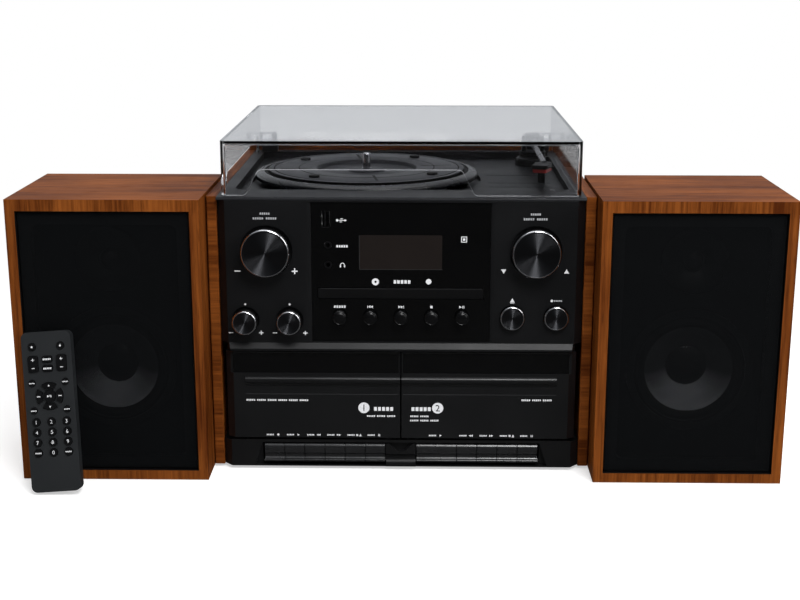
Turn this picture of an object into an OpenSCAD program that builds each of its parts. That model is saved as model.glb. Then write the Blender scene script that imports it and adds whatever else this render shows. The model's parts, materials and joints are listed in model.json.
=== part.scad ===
// Stereo music centre: a wooden-sided main unit with a record player under a clear lid,
// a radio and disc section, a double cassette deck, two detached loudspeakers and a
// hand-held remote control that leans on the left loudspeaker. Millimetres, +Z up.

/* [Main unit] */
// Width over the wooden side panels
unit_w = 320; // [316:1:324]
// Depth from the front face to the back of the wooden panels
unit_d = 286; // [284:1:292]
// Height of the record deck's top face above the table
deck_z = 235.5; // [234:0.5:238]
// Thickness of the wooden side panels
panel_t = 8.5; // [8:0.5:9]
// Height of the moulded feet under the base
foot_h = 2; // [1.5:0.5:3]

/* [Lid] */
// Outer width of the clear lid
lid_w = 295.5; // [292:0.5:297]
// Height of the clear lid
lid_h = 44.6; // [40:0.2:50]
// Wall thickness of the clear lid
lid_t = 2.5; // [2:0.1:3]
// Half width of the finger notch at its foot
notch_half = 92; // [86:1:94]
// Height of the finger notch
notch_h = 21.4; // [18:0.2:24]
// Height of the record's notches in the left and the rear wall of the lid
side_notch_h = 16; // [14:0.5:20]

/* [Record player] */
// Sideways place of the platter's centre
platter_x = -33.5; // [-35:0.5:-32]
// Distance of the platter's centre behind the front face
platter_y = 138; // [137:1:140]
// Radius of the platter
platter_r = 101; // [98:0.5:102]
// Height of the platter's top face
platter_z = 239.5; // [238.5:0.5:240]
// Radius of the record spindle, for the 7.2 mm hole of a record
spindle_r = 3.55; // [3.5:0.01:3.57]
// Distance from the tonearm's pivot to the stylus
arm_l = 145; // [140:1:150]

/* [Front controls] */
// Radius of the volume and tuning knobs
big_knob_r = 20; // [19:0.25:20.5]
// Radius of the tone knobs and of the two round keys beside them
small_knob_r = 10.25; // [9.5:0.25:10.5]
// How far the knobs stand out of the front face
knob_out = 11; // [9:0.5:13]
// Radius of the five buttons under the disc drawer
button_r = 5.85; // [5.5:0.05:6]
// Spacing of the five buttons
button_pitch = 25.4; // [24:0.2:26]
// Width of the disc drawer's front
drawer_w = 137; // [135:1:138]
// Height of the disc drawer's front
drawer_h = 8.5; // [8:0.25:9]

/* [Cassette deck] */
// Height of the lower edge of the cassette doors
door_z0 = 28.6; // [28:0.2:29]
// Height of the upper edge of the cassette doors
door_z1 = 105; // [104:0.5:106]
// Width of one cassette key
key_pitch = 17.2; // [16.8:0.1:17.3]

/* [Loudspeakers] */
// Width of a loudspeaker
speaker_w = 156; // [150:1:160]
// Height of a loudspeaker
speaker_h = 238; // [230:1:245]
// Depth of a loudspeaker
speaker_d = 130; // [125:1:150]
// How far the loudspeakers stand in front of the main unit
speaker_ahead = 27; // [20:1:35]
// Gap between a loudspeaker and the main unit
speaker_gap = 0.8; // [0.6:0.1:10]
// Thickness of the loudspeakers' wooden walls
speaker_wall = 8; // [7:0.5:10]

/* [Remote control] */
// Width of the remote control
remote_w = 40.5; // [38:0.5:44]
// Length of the remote control
remote_l = 131; // [125:1:140]
// Thickness of the remote control
remote_t = 9; // [8:0.5:12]
// Angle at which the remote control leans back
remote_lean = 12.8; // [8:0.2:20]
// Angle at which the remote control leans sideways
remote_tilt = 4; // [0:0.5:6]

/* [Hidden] */
$fn = 64;
cut = 1;                 // overlap of a cutting shape past the face it cuts
fit = 0.3;               // gap between pieces that only pass each other
running = 0.05;          // radial clearance of a shaft in its bore

// Colours
wood = [0.52, 0.27, 0.12];
satin_black = [0.07, 0.07, 0.08];
gloss_black = [0.02, 0.02, 0.02];
grey = [0.2, 0.21, 0.23];
metal = [0.75, 0.76, 0.78];
clear = [0.72, 0.74, 0.78, 0.35];
board = [0.1, 0.35, 0.2];

// Main unit
inner_w = unit_w - 2 * panel_t;      // clear width between the wooden panels
body_half = inner_w / 2 - 0.3;       // half width of the mouldings between them
panel_y0 = 5;                        // front edge of the wooden panels
panel_z0 = foot_h;                   // lower edge of the wooden panels
rail_t = 12;                         // thickness of the wooden rear rail
rail_y0 = unit_d - rail_t;
rail_z1 = deck_z + 5.5;
deck_y1 = rail_y0 - 0.3;
deck_z0 = deck_z - 14;
face_half = 144.5;                   // half width of the flat of the front face
chamfer_y = 7;                       // how far back the front's corners are cut
fascia_z0 = 112;
fascia_z1 = deck_z - 2.5;
fascia_t = 3;
fascia_y1 = 34;                      // rear edge of the fascia's side walls

// Centre panel
glass_half = 74;
glass_y = 1.2;
glass_t = 3;
glass_z0 = fascia_z0 + 1.6;
glass_z1 = fascia_z1 - 1.4;
bevel = 4;
drawer_z = 155;
button_z = 134.8;
lcd_half = 34;
lcd_z0 = 175.5;
lcd_z1 = 204.2;
usb_x = -61.5;
usb_z = 217.3;
jack_r = 1.85;
jack_ring_r = 3.2;
jack_z = [195.8, 179.2];
jack_x = -60;

// Knobs: x, z
volume_at = [-111, 190.7];
scroll_at = [111, 190.7];
bass_at = [-129.5, 131.8];
treble_at = [-92.6, 131.8];
eject_at = [92.6, 134.8];
record_at = [129, 134.8];
shaft_r = 3;
well_depth = 2.6;
shaft_y1 = 15;                       // inner end of a shaft, 1.5 mm before its seat's end
button_back = 5;                     // front of the buttons' retaining flange

// Sockets behind
phono_x = [60, 78, 108, 126];
phono_z = [40, 58];

// Cassette doors
door_half_gap = 0.6;
door_x1 = 147.2;
door_y = -1;
door_t = 3;
door_corner_x = 141;
hinge_y = 5;
hinge_z = door_z0 + 3;
hinge_r = 1.2;
hinge_lug_r = 2.6;
hinge_lugs = [8.6, 133.6];           // inner edges of a door's two lugs
hinge_ears = [4.4, 129.4];           // inner edges of the ears beside them
lug_t = 5.6;
shelf_z = 36;                        // where a cassette stands in its door
window_z0 = 86.2;
window_t = 1.6;
grip_z = 80;
grip_r = 3;

// Cassette keys
key_z1 = door_z0 - 5.4;
key_centre_half = 13.2;
key_gap = 0.6;
key_pivot_y = 31;
key_pivot_z = 17;
key_axle_r = 1.5;
key_end = key_centre_half + 6 * key_pitch;
key_front = -1;
panel_top = door_z0 - 1.7;
panel_flat = door_z0 - 3.3;          // behind the panel's bevelled upper edge
key_foot = 6.4;                      // lower edge of a key's lip

// Lid
lid_y0 = 7;
lid_y1 = 272;
lid_z0 = deck_z + 0.4;
lid_pivot_y = lid_y1 + 5;
lid_pivot_z = rail_z1 + 5.5;
lid_pin_r = 2;
lug_w = 10;
lug_x = 140;
ear_t = 4.4;
ear_r = 4.4;

// Record player
recess_y0 = 38;
recess_x = 141;
recess_y1 = 262;
recess_z = deck_z - 6.5;
well_z = deck_z - 10;
platter_rim = 8.5;
bearing_r = 4.5;                     // thick part of the spindle, inside the platter's hub
hub_z = well_z + 0.9;
shoulder_z = platter_z - 0.9;        // where the spindle narrows, above the hub's top
spindle_z1 = platter_z + 13.1;
pad_at = 73.5;                       // distance of the rubber pads from the spindle
pivot_x = 124;
pivot_y = 222;
arm_z = 250;
arm_rest_y = 118;
arm_tube_r = 2.6;
switch_x = 128.2;
switch_y = 53.5;
switch_travel = 12;

// Loudspeakers
speaker_x = unit_w / 2 + speaker_gap + speaker_w / 2;
speaker_y0 = -speaker_ahead;
baffle_y = 14;                       // baffle's face behind the cabinet's front edge
baffle_t = 9;
grille_y = 3;
grille_t = 8;
grille_half = speaker_w / 2 - speaker_wall - 0.4;
grille_z0 = speaker_wall + 0.4;
grille_z1 = speaker_h - speaker_wall - 1.9;
woofer_z = 94;
woofer_r = 52;
tweeter_z = 186;
tweeter_r = 27;

// Remote control
remote_x = -279.5;
remote_corner = 5;
remote_lift = (remote_w / 2 - remote_corner) * sin(remote_tilt)
    + remote_corner * (1 - cos(remote_tilt));
remote_top = 2 * remote_lift + remote_l * cos(remote_tilt);
remote_y = speaker_y0 + grille_y - fit - remote_top * sin(remote_lean);

// The row's origin is the middle of the whole set's footprint
front_y = -(unit_d + remote_y - remote_t * cos(remote_lean)) / 2;

module in_unit() {
    translate([0, front_y, 0]) children();
}

// Rectangle between two corners with rounded corners, as true arcs
module soft_rect(x0, y0, x1, y1, r) {
    translate([x0 + r, y0]) square([x1 - x0 - 2 * r, y1 - y0]);
    translate([x0, y0 + r]) square([x1 - x0, y1 - y0 - 2 * r]);
    for (x = [x0 + r, x1 - r], y = [y0 + r, y1 - r])
        translate([x, y]) circle(r);
}

// Box between two corners
module block(a, b) {
    translate(a) cube(b - a);
}

// A shape drawn in X and Z, pushed from y0 back to y1
module from_front(y0, y1) {
    translate([0, y1, 0]) rotate([90, 0, 0]) linear_extrude(y1 - y0) children();
}

// A shape drawn in Y and Z, pushed from x0 to x1
module from_side(x0, x1) {
    translate([x0, 0, 0]) rotate([90, 0, 90]) linear_extrude(x1 - x0) children();
}

// A cylinder along Y between y0 and y1
module rod_y(x, z, r, y0, y1) {
    translate([x, y0, z]) rotate([-90, 0, 0]) cylinder(r = r, h = y1 - y0);
}

// A cylinder along X between x0 and x1
module rod_x(y, z, r, x0, x1) {
    translate([x0, y, z]) rotate([0, 90, 0]) cylinder(r = r, h = x1 - x0);
}

// A turned piece along -Y, its profile given as radius and distance out of the front
module turned(at, profile) {
    translate([at[0], 0, at[1]]) rotate([90, 0, 0]) rotate_extrude() polygon(profile);
}

// ---------------------------------------------------------------- cabinet and base

// Both wooden sides and the rear rail, glued into one U
module wood_cabinet() {
    color(wood) in_unit() {
        difference() {
            union() {
                for (side = [-1, 1])
                    scale([side, 1, 1]) translate([inner_w / 2, 0, panel_z0])
                        linear_extrude(deck_z - panel_z0)
                            soft_rect(0, panel_y0, panel_t, unit_d, 1.2);
                block([-unit_w / 2 + 2, rail_y0, deck_z0], [unit_w / 2 - 2, unit_d, rail_z1]);
            }
            // shallow seats of the lid's hinges
            for (side = [-1, 1])
                block([side * lug_x - 11, rail_y0 - cut, rail_z1 - 1.5],
                      [side * lug_x + 11, lid_pivot_y + ear_r + 0.6, rail_z1 + cut]);
        }
    }
}

// Base moulding with four feet, ribs and the standoffs of the main board
module base_tray() {
    color(satin_black) in_unit() {
        difference() {
            union() {
                block([-body_half, 36, panel_z0 + 0.6], [body_half, rail_y0 + 8, 5.2]);
                block([-118, 10.4, panel_z0 + 0.6], [118, 37, 3.2]);
                for (side = [-1, 1], y = [52, unit_d - 34])
                    translate([side * 128, y, 0]) cylinder(r1 = 8.5, r2 = 10, h = foot_h + 1);
                for (y = [100, 150, 200, 250])
                    block([-body_half + 4, y - 1, 5], [body_half - 4, y + 1, 9]);
                for (x = [-118, 118], y = [112, 238])
                    translate([x, y, 5]) cylinder(r = 4, h = 9);
            }
            // ventilation slots under the transformer
            for (i = [0:6])
                translate([-110 + 12 * i, 205, 0]) linear_extrude(8)
                    soft_rect(0, 0, 4, 34, 1.9);
        }
    }
}

// Rear cover with ventilation slots and the cut-outs of the sockets
module rear_cover() {
    y = rail_y0 + 1;
    color(satin_black) in_unit() difference() {
        from_front(y, y + 2.5) soft_rect(-body_half, 5.6, body_half, deck_z0 - 0.4, 2);
        for (row = [0:7], x = [-116, -52])
            from_front(y - cut, y + 4)
                soft_rect(x, 128 + 7.5 * row, x + 54, 131 + 7.5 * row, 1.4);
        for (x = phono_x, z = phono_z) rod_y(x, z, 5.2, y - cut, y + 4);
        from_front(y - cut, y + 4) soft_rect(-126, 22, -102, 40, 2.5);
        for (x = [-140, 140], z = [14, deck_z0 - 10]) rod_y(x, z, 1.7, y - cut, y + 4);
        rod_y(96, 190, 5.2, y - cut, y + 4);
    }
}

// ---------------------------------------------------------------- front

// Outline of the front in plan: flat face, cut corners, side walls
module front_plan(y_back) {
    polygon([[-body_half, y_back], [-body_half, chamfer_y], [-face_half, 0], [face_half, 0],
             [body_half, chamfer_y], [body_half, y_back]]);
}

// Upper fascia with the knob wells and the sloping ledge over the cassette doors
module front_fascia() {
    color(satin_black) in_unit() difference() {
        union() {
            translate([0, 0, fascia_z0]) linear_extrude(fascia_z1 - fascia_z0)
                front_plan(fascia_y1);
            ledge();
        }
        // hollow behind the face
        block([-body_half + 3, chamfer_y + 3, fascia_z0 + 3],
              [body_half - 3, fascia_y1 + cut, fascia_z1 - 3]);
        block([-face_half + 3, fascia_t + 1.6, fascia_z0 + 3],
              [face_half - 3, chamfer_y + 4, fascia_z1 - 3]);
        // opening of the centre panel, with its bevelled frame
        from_front(-cut, chamfer_y + 4) square_at(-glass_half, glass_z0, glass_half, glass_z1);
        for (side = [-1, 1]) scale([side, 1, 1]) translate([0, 0, glass_z0])
            linear_extrude(glass_z1 - glass_z0)
                polygon([[glass_half - cut, -cut], [glass_half + bevel, -cut],
                         [glass_half + bevel, 0], [glass_half, glass_y],
                         [glass_half - cut, glass_y]]);
        // wells and shaft holes
        for (at = [volume_at, scroll_at]) {
            rod_y(at[0], at[1], big_knob_r + 1.6, -cut, well_depth);
            rod_y(at[0], at[1], shaft_r + fit, -cut, 8);
        }
        for (at = [bass_at, treble_at]) {
            rod_y(at[0], at[1], small_knob_r + 1.2, -cut, well_depth);
            rod_y(at[0], at[1], shaft_r + fit, -cut, 8);
        }
        for (at = [eject_at, record_at]) rod_y(at[0], at[1], small_knob_r + fit, -cut, 8);
    }
}

module square_at(x0, z0, x1, z1) {
    translate([x0, z0]) square([x1 - x0, z1 - z0]);
}

// Sloping bar that overhangs the cassette doors
module ledge() {
    difference() {
        from_side(-face_half - 1, face_half + 1)
            polygon([[0.5, fascia_z0 + 1], [0, fascia_z0 + 0.4], [-3.6, door_z1 + 3],
                     [-3.6, door_z1 + 1.2], [-2, door_z1 + 0.6], [20, door_z1 + 0.6],
                     [20, fascia_z0 + 1]]);
        // mitred ends
        for (side = [-1, 1]) scale([side, 1, 1])
            translate([0, 0, door_z1 - cut]) linear_extrude(12)
                polygon([[face_half + 3, -9], [face_half - 3.5, -9], [face_half - 0.5, 0],
                         [face_half + 3, 5]]);
    }
}

// Glossy centre panel with the drawer slot, the display window and the button holes
module display_panel() {
    color(gloss_black) in_unit() difference() {
        from_front(glass_y, glass_y + glass_t)
            square_at(-glass_half + 0.2, glass_z0 + 0.2, glass_half - 0.2, glass_z1 - 0.2);
        from_front(0, 6) soft_rect(-drawer_w / 2 - 0.5, drawer_z - drawer_h / 2 - 0.5,
            drawer_w / 2 + 0.5, drawer_z + drawer_h / 2 + 0.5, 0.8);
        // the window is thinned from behind for the display module
        from_front(glass_y + 1, 6) soft_rect(-lcd_half, lcd_z0, lcd_half, lcd_z1, 1);
        for (i = [-2:2])
            rod_y(i * button_pitch, button_z, button_r + fit, 0, 6);
        for (z = jack_z) rod_y(jack_x, z, jack_ring_r, 0, 6);
        from_front(0, 6) soft_rect(usb_x - 3.4, usb_z - 7.1, usb_x + 3.4, usb_z + 7.1, 0.8);
    }
}

// Lower front with the key recess, the middle block and the door hinges' ears
module key_panel() {
    recess_z1 = key_z1 + 0.8;
    color(satin_black) in_unit() {
        difference() {
            translate([0, 0, panel_z0 + 0.4]) linear_extrude(panel_top - panel_z0 - 0.4)
                front_plan(34);
            // upper edge bevelled to clear the doors' lower edges
            from_side(-inner_w, inner_w)
                polygon([[-cut, panel_top - 0.4 + cut], [0, panel_top - 0.4], [1.2, panel_flat],
                         [36, panel_flat], [36, panel_top + cut], [-cut, panel_top + cut]]);
            block([-body_half + 3, chamfer_y + 2.6, panel_z0 - cut],
                  [body_half - 3, 36, panel_flat - 1.8]);
            // the recess of the keys, and its shallow sloping ends
            from_front(-2, 36) square_at(-key_end - 1.6, 3.4, key_end + 1.6, recess_z1);
            from_front(-2, 4)
                polygon([[-key_end - 8, 3.4], [-key_end - 1.6, recess_z1],
                         [key_end + 1.6, recess_z1], [key_end + 8, 3.4]]);
        }
        // middle block between the two groups of keys
        key_block();
        // ears and pins of the door hinges
        for (side = [-1, 1], x = hinge_ears) scale([side, 1, 1]) {
            ear(x);
            rod_x(hinge_y, hinge_z, hinge_r, x + 1, x + 9.6);
        }
    }
}

module ear(x) {
    from_side(x, x + 3.6) {
        translate([hinge_y, hinge_z]) circle(hinge_lug_r);
        translate([hinge_y - 0.6, panel_flat - cut])
            square([hinge_lug_r + 0.6, hinge_z - panel_flat + cut]);
    }
}

module key_block() {
    difference() {
        from_side(-key_centre_half + key_gap, key_centre_half - key_gap) {
            translate([-1.4, 2.8]) square([11, key_z1 - 2.8]);
        }
        from_side(-key_centre_half, key_centre_half)
            translate([-3.4, 10.4]) circle(4.2);
        // finger notch in its upper edge
        from_front(-3, 3) polygon([[-11, key_z1 + 1], [-3, key_z1 - 6.5], [3, key_z1 - 6.5],
                                   [11, key_z1 + 1]]);
    }
}

// ---------------------------------------------------------------- cassette deck

// Door with a shallow box behind it that holds the cassette; side is -1 left, 1 right
module cassette_door(side) {
    color(satin_black) in_unit() scale([side, 1, 1]) difference() {
        union() {
            // face plate with its cut corner
            translate([0, 0, door_z0]) linear_extrude(door_z1 - door_z0 - 0.2)
                polygon([[door_half_gap, door_y], [door_corner_x, door_y],
                         [door_x1, door_y + 4.4], [door_x1, door_y + 7.4],
                         [door_corner_x, door_y + door_t + 0.6],
                         [door_corner_x - 5, door_y + door_t],
                         [door_half_gap, door_y + door_t]]);
            // grip ridge
            difference() {
                rod_x(door_y + 0.6, grip_z, grip_r, door_half_gap, 131);
                block([0, door_y + 1, grip_z - 5], [140, 8, grip_z + 5]);
            }
            // cassette holder: two cheeks with inward flanges, and two short shelves
            for (x = [17, 125.4])
                block([x, door_y + 2, shelf_z], [x + 2, 20, 84]);
            for (x = [17, 105])
                block([x, door_y + 2, shelf_z], [x + 22.4, 20, shelf_z + 2]);
            for (x = [17, 113.4])
                block([x, 18.4, shelf_z], [x + 14, 20, 84]);
            // hinge lugs
            for (x = hinge_lugs) from_side(x, x + lug_t) {
                translate([hinge_y, hinge_z]) circle(hinge_lug_r);
                translate([door_y + 2, hinge_z - hinge_lug_r])
                    square([hinge_y - door_y - 2, 2 * hinge_lug_r]);
            }
        }
        for (x = hinge_lugs)
            rod_x(hinge_y, hinge_z, hinge_r + running, x - cut, x + lug_t + cut);
        // seat of the window
        block([door_half_gap + 1.2, door_y - cut, window_z0],
              [door_x1 + 1, door_y + window_t, door_z1 - 1.4]);
        block([20, door_y - cut, window_z0 + 3], [door_corner_x - 8, 6, door_z1 - 4.5]);
        // engraved lines under the grip
        block([door_half_gap + 1, door_y - cut, grip_z - 5.4], [131, door_y + 0.5, grip_z - 4.6]);
    }
}

module door_window(side) {
    color(gloss_black) in_unit() scale([side, 1, 1])
        translate([0, 0, window_z0 + 0.15]) linear_extrude(door_z1 - 1.55 - window_z0 - 0.15)
            polygon([[door_half_gap + 1.35, door_y + 0.3], [door_corner_x, door_y + 0.3],
                     [door_corner_x, door_y + window_t], [door_half_gap + 1.35, door_y + window_t]]);
}

// Two tape mechanisms: chassis plate, reel hubs, heads, pinch rollers and the key axle
module cassette_mechanisms() {
    color(metal) in_unit() for (side = [-1, 1]) {
        x0 = side > 0 ? 13 : -133;
        difference() {
            block([x0, 36, 5.2], [x0 + 120, 38, 104]);
            for (dx = [39, 81]) rod_y(x0 + dx, 66, 2.1, 30, 40);
        }
        for (dx = [39, 81]) {
            rod_y(x0 + dx, 66, 2, 10, 42);
            rod_y(x0 + dx, 66, 4.6, 26.4, 34);
        }
        block([x0 + 50, 23, 30], [x0 + 70, 36, 42]);
        rod_y(x0 + 36, 41, 4, 24, 36);
        rod_y(x0 + 84, 41, 4, 24, 36);
        block([x0 + 8, 38, 20], [x0 + 112, 62, 100]);
        key_axle(side);
    }
}

module key_axle(side) {
    x0 = side > 0 ? key_centre_half - 1.5 : -key_end - 2.5;
    x1 = side > 0 ? key_end + 2.5 : -key_centre_half + 1.5;
    rod_x(key_pivot_y, key_pivot_z, key_axle_r, x0, x1);
    for (x = [x0, x1 - 2]) from_side(x, x + 2) {
        translate([key_pivot_y, key_pivot_z]) circle(3);
        translate([key_pivot_y - 3, 5.2]) square([8, key_pivot_z - 5.2]);
    }
}

// One piano key between x0 and x1: rolled top, hollow front, lower lip and lever
module key(x0, x1) {
    roll = 4.4;
    color(satin_black) in_unit() difference() {
        union() {
            from_side(x0 + key_gap / 2, x1 - key_gap / 2) difference() {
                union() {
                    translate([key_front + roll, key_z1 - roll]) circle(roll);
                    translate([key_front + roll, key_foot]) square([9, key_z1 - key_foot]);
                    translate([key_front + 0.8, key_foot + 0.8])
                        square([12.6, key_z1 - roll - key_foot]);
                    translate([key_front + 1.6, key_foot + 1.2]) circle(1.2);
                    translate([key_front + 1.6, key_foot]) square([5, 3]);
                }
                translate([key_front - 0.4, key_foot + 5.4]) circle(3);
            }
            from_side((x0 + x1) / 2 - 4, (x0 + x1) / 2 + 4) {
                translate([key_front + 8, key_pivot_z - 3]) square([key_pivot_y - key_front - 8, 6]);
                translate([key_pivot_y, key_pivot_z]) circle(3);
            }
        }
        rod_x(key_pivot_y, key_pivot_z, key_axle_r + running, x0, x1);
    }
}

module left_key(i) {
    key(-key_end + i * key_pitch, -key_end + (i + 1) * key_pitch);
}

module right_key(i) {
    key(key_centre_half + i * key_pitch, key_centre_half + (i + 1) * key_pitch);
}

module wide_key() {
    key(key_centre_half, key_centre_half + 2 * key_pitch);
}

// ---------------------------------------------------------------- knobs and buttons

// Plunger of a rotary encoder, on which its knob turns and with which it is pushed
module control_shaft(at) {
    color(metal) in_unit() rod_y(at[0], at[1], shaft_r, -6, shaft_y1);
}

// Spun cap with a polished rim, a knurled waist and a bore for its shaft
module knob(at, r, bored) {
    color(metal) in_unit() difference() {
        turned(at, [[0, -1], [r - 0.8, -1], [r - 0.2, -0.4], [r - 0.2, knob_out - 1.4],
                    [r, knob_out - 1.2], [r, knob_out - 0.4], [r - 0.5, knob_out],
                    [r - 1, knob_out], [r - 1.4, knob_out - 0.6], [0, knob_out - 1.2]]);
        if (bored) rod_y(at[0], at[1], shaft_r + running, -7, 2);
    }
}

// A knob turned from one piece with its own shaft
module tone_knob(at) {
    knob(at, small_knob_r, false);
    color(metal) in_unit() rod_y(at[0], at[1], shaft_r, 0, shaft_y1);
}

// A round key with a polished rim and a retaining flange behind the front
module round_button(at) {
    r = small_knob_r;
    out = 4;
    color(metal) in_unit() turned(at, [[0, -button_back - 2], [r + 1.6, -button_back - 2],
        [r + 1.6, -button_back], [r, -button_back], [r, out - 0.5], [r - 0.5, out], [r - 1, out],
        [r - 1.3, out - 0.5], [0, out - 0.8]]);
}

// A small domed button under the disc drawer
module small_button(i) {
    r = button_r;
    color(satin_black) in_unit() turned([i * button_pitch, button_z],
        [[0, -button_back - 1.6], [r + 1.4, -button_back - 1.6], [r + 1.4, -button_back],
         [r, -button_back], [r, 4.2], [r - 0.5, 5.2], [r - 1.6, 5.8], [0, 6.2]]);
}

// ---------------------------------------------------------------- disc player

// Drawer with its front bar and the two recesses for large and small discs
module cd_tray() {
    tray_z0 = drawer_z - 3.4;
    color(satin_black) in_unit() difference() {
        union() {
            from_front(0.6, 5.4) soft_rect(-drawer_w / 2, drawer_z - drawer_h / 2,
                drawer_w / 2, drawer_z + drawer_h / 2, 0.8);
            block([-64.5, 5, tray_z0], [64.5, 150, drawer_z + 2]);
        }
        translate([0, 72, drawer_z - 0.6]) cylinder(r = 60.4, h = 4);
        translate([0, 72, drawer_z - 1.6]) cylinder(r = 40.4, h = 4);
        // opening of the clamp and the pick-up
        translate([0, 0, tray_z0 - cut]) linear_extrude(8) soft_rect(-19, 53, 19, 151, 18);
    }
}

// Frame in which the drawer runs, with the disc motor and the pick-up sled
module cd_loader() {
    z0 = drawer_z - 9;
    color(grey) in_unit() {
        difference() {
            block([-72, 9, z0], [72, 168, drawer_z + 8]);
            block([-64.9, 8, drawer_z - 3.8], [64.9, 152, drawer_z + 2.4]);
            block([-60, 20, drawer_z - 5], [60, 160, drawer_z + 6]);
            block([-16, 50, z0 - cut], [16, 150, drawer_z]);
        }
        translate([0, 72, z0]) cylinder(r = 8, h = 4);
        block([-20, 70, z0], [20, 74, z0 + 2.4]);
        block([-20, 100, z0], [20, 122, z0 + 3]);
    }
}

// ---------------------------------------------------------------- record player

// Plinth moulding: front band, sunk floor, platter well and ribs
module turntable_deck() {
    color(satin_black) in_unit() difference() {
        // rounded front edge carried along the width
        from_side(-body_half, body_half) {
            translate([2.5, deck_z0]) square([deck_y1 - 2.5, deck_z - deck_z0]);
            translate([2.5, deck_z - 2.3]) circle(2.3);
        }
        block([-body_half - 1, -1, deck_z0 - cut], [body_half + 1, 34.4, fascia_z1 + 0.2]);
        // sunk floor
        translate([0, 0, recess_z]) linear_extrude(20)
            soft_rect(-recess_x, recess_y0, recess_x, recess_y1, 10);
        translate([platter_x, platter_y, well_z]) cylinder(r = platter_r + 3, h = 20);
        // row of ribs in front of the arm
        for (i = [0:4])
            translate([0, 0, recess_z - 0.8]) linear_extrude(2)
                soft_rect(76, 44 + 5 * i, 112, 46.6 + 5 * i, 1.2);
        // slot of the speed switch
        translate([switch_x, switch_y, deck_z0 - cut]) linear_extrude(20)
            soft_rect(-2.2, -3, 2.2, switch_travel + 3, 2.1);
        // seats under the pivot and the spindle
        translate([pivot_x, pivot_y, deck_z0 - cut]) cylinder(r = 5, h = 20);
        translate([platter_x, platter_y, deck_z0 - cut])
            cylinder(r = bearing_r + running, h = 20);
        // shadow gaps between the flats beside the arm
        for (y = [92, 113, 156])
            translate([0, 0, recess_z - 0.8]) linear_extrude(2)
                soft_rect(76, y, 132, y + 1.2, 0.5);
    }
}

// Stepped steel pin: the platter turns on its thick part, the thin one centres the record
module spindle() {
    color(metal) in_unit() translate([platter_x, platter_y, 0]) {
        translate([0, 0, well_z]) cylinder(r = 7, h = 0.6);
        translate([0, 0, deck_z0 - 4]) cylinder(r = bearing_r, h = shoulder_z - deck_z0 + 4);
        translate([0, 0, shoulder_z - cut])
            cylinder(r = spindle_r, h = spindle_z1 - 1.5 - shoulder_z + cut);
        translate([0, 0, spindle_z1 - 1.5])
            cylinder(r1 = spindle_r, r2 = spindle_r - 1.1, h = 1.5);
        translate([0, 0, deck_z0 - 4]) cylinder(r = 8, h = 4);
    }
}

// Turned platter: sunk middle, flat field with a fine groove, deep groove and round shoulder.
// Four rubber pads and four radial slots lie in the field.
module platter() {
    bore = bearing_r + running;
    color(satin_black) in_unit() translate([platter_x, platter_y, platter_z]) {
        difference() {
            rotate_extrude($fn = 96) polygon([
                [bore, hub_z - platter_z], [12, hub_z - platter_z], [12, -6],
                [platter_r - 8, -6], [platter_r - 6, -platter_rim],
                [platter_r - 1.5, -platter_rim], [platter_r, -platter_rim + 1.4],
                [platter_r, -4.8], [platter_r - 0.5, -3.9], [platter_r - 2.4, -2.7],
                [platter_r - 5, -1.8], [platter_r - 7.8, -1.5], [platter_r - 8.4, -2.7],
                [88.8, -2.7], [88.4, 0], [84.7, 0], [84.3, -0.8], [83.3, -0.8], [82.9, 0],
                [45.8, 0], [44.6, -3.5], [17.4, -3.5], [16.2, -1.5], [bore, -1.5]]);
            for (a = [9:90:279]) rotate(a) translate([0, 0, -0.8]) linear_extrude(2)
                soft_rect(49.5, -1.2, 78.5, 1.2, 0.6);
        }
        for (a = [54:90:324]) rotate(a) translate([pad_at, 0, -1]) {
            cylinder(r = 4.75, h = 2.4);
            translate([0, 0, 2.3]) cylinder(r1 = 4.75, r2 = 4.2, h = 0.5);
        }
    }
}

// Round pedestal of the tonearm and the post of its rest
module tonearm_base() {
    color(satin_black) in_unit() {
        translate([pivot_x, pivot_y, recess_z]) rotate_extrude()
            polygon([[2.55, 0], [16.4, 0], [16.4, 5], [15.4, 7], [12.6, 8.6], [2.55, 8.6]]);
        translate([pivot_x, pivot_y, deck_z0 - 3]) difference() {
            cylinder(r = 4.9, h = recess_z - deck_z0 + 3);
            translate([0, 0, -cut]) cylinder(r = 2.55, h = 30);
        }
        // arm rest: post, shelf under the tube and a stop on its outer side
        translate([pivot_x, arm_rest_y, recess_z]) {
            cylinder(r = 3.2, h = 15);
            difference() {
                translate([-6, -3, 13]) cube([12, 6, arm_z - recess_z - 10.6]);
                translate([0, -4, arm_z - recess_z]) rotate([-90, 0, 0])
                    cylinder(r = arm_tube_r + 0.5, h = 8);
                translate([-7, -4, arm_z - recess_z - arm_tube_r - 0.5])
                    cube([7 + arm_tube_r + 0.5, 8, 10]);
            }
        }
    }
}

// Turret that swings on the pedestal, with two ears for the arm's cross pin
module tonearm_turret() {
    color(satin_black) in_unit() translate([pivot_x, pivot_y, 0]) difference() {
        union() {
            translate([0, 0, deck_z0]) cylinder(r = 2.5, h = recess_z + 12 - deck_z0);
            translate([0, 0, recess_z + 9]) cylinder(r = 12.6, h = 4.5);
            for (side = [-1, 1]) scale([side, 1, 1])
                from_side(7, 10.5) {
                    translate([-5, recess_z + 13]) square([10, arm_z - recess_z - 13]);
                    translate([0, arm_z]) circle(5);
                }
        }
        rod_x(0, arm_z, 1.5 + running, -12, 12);
    }
}

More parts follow.
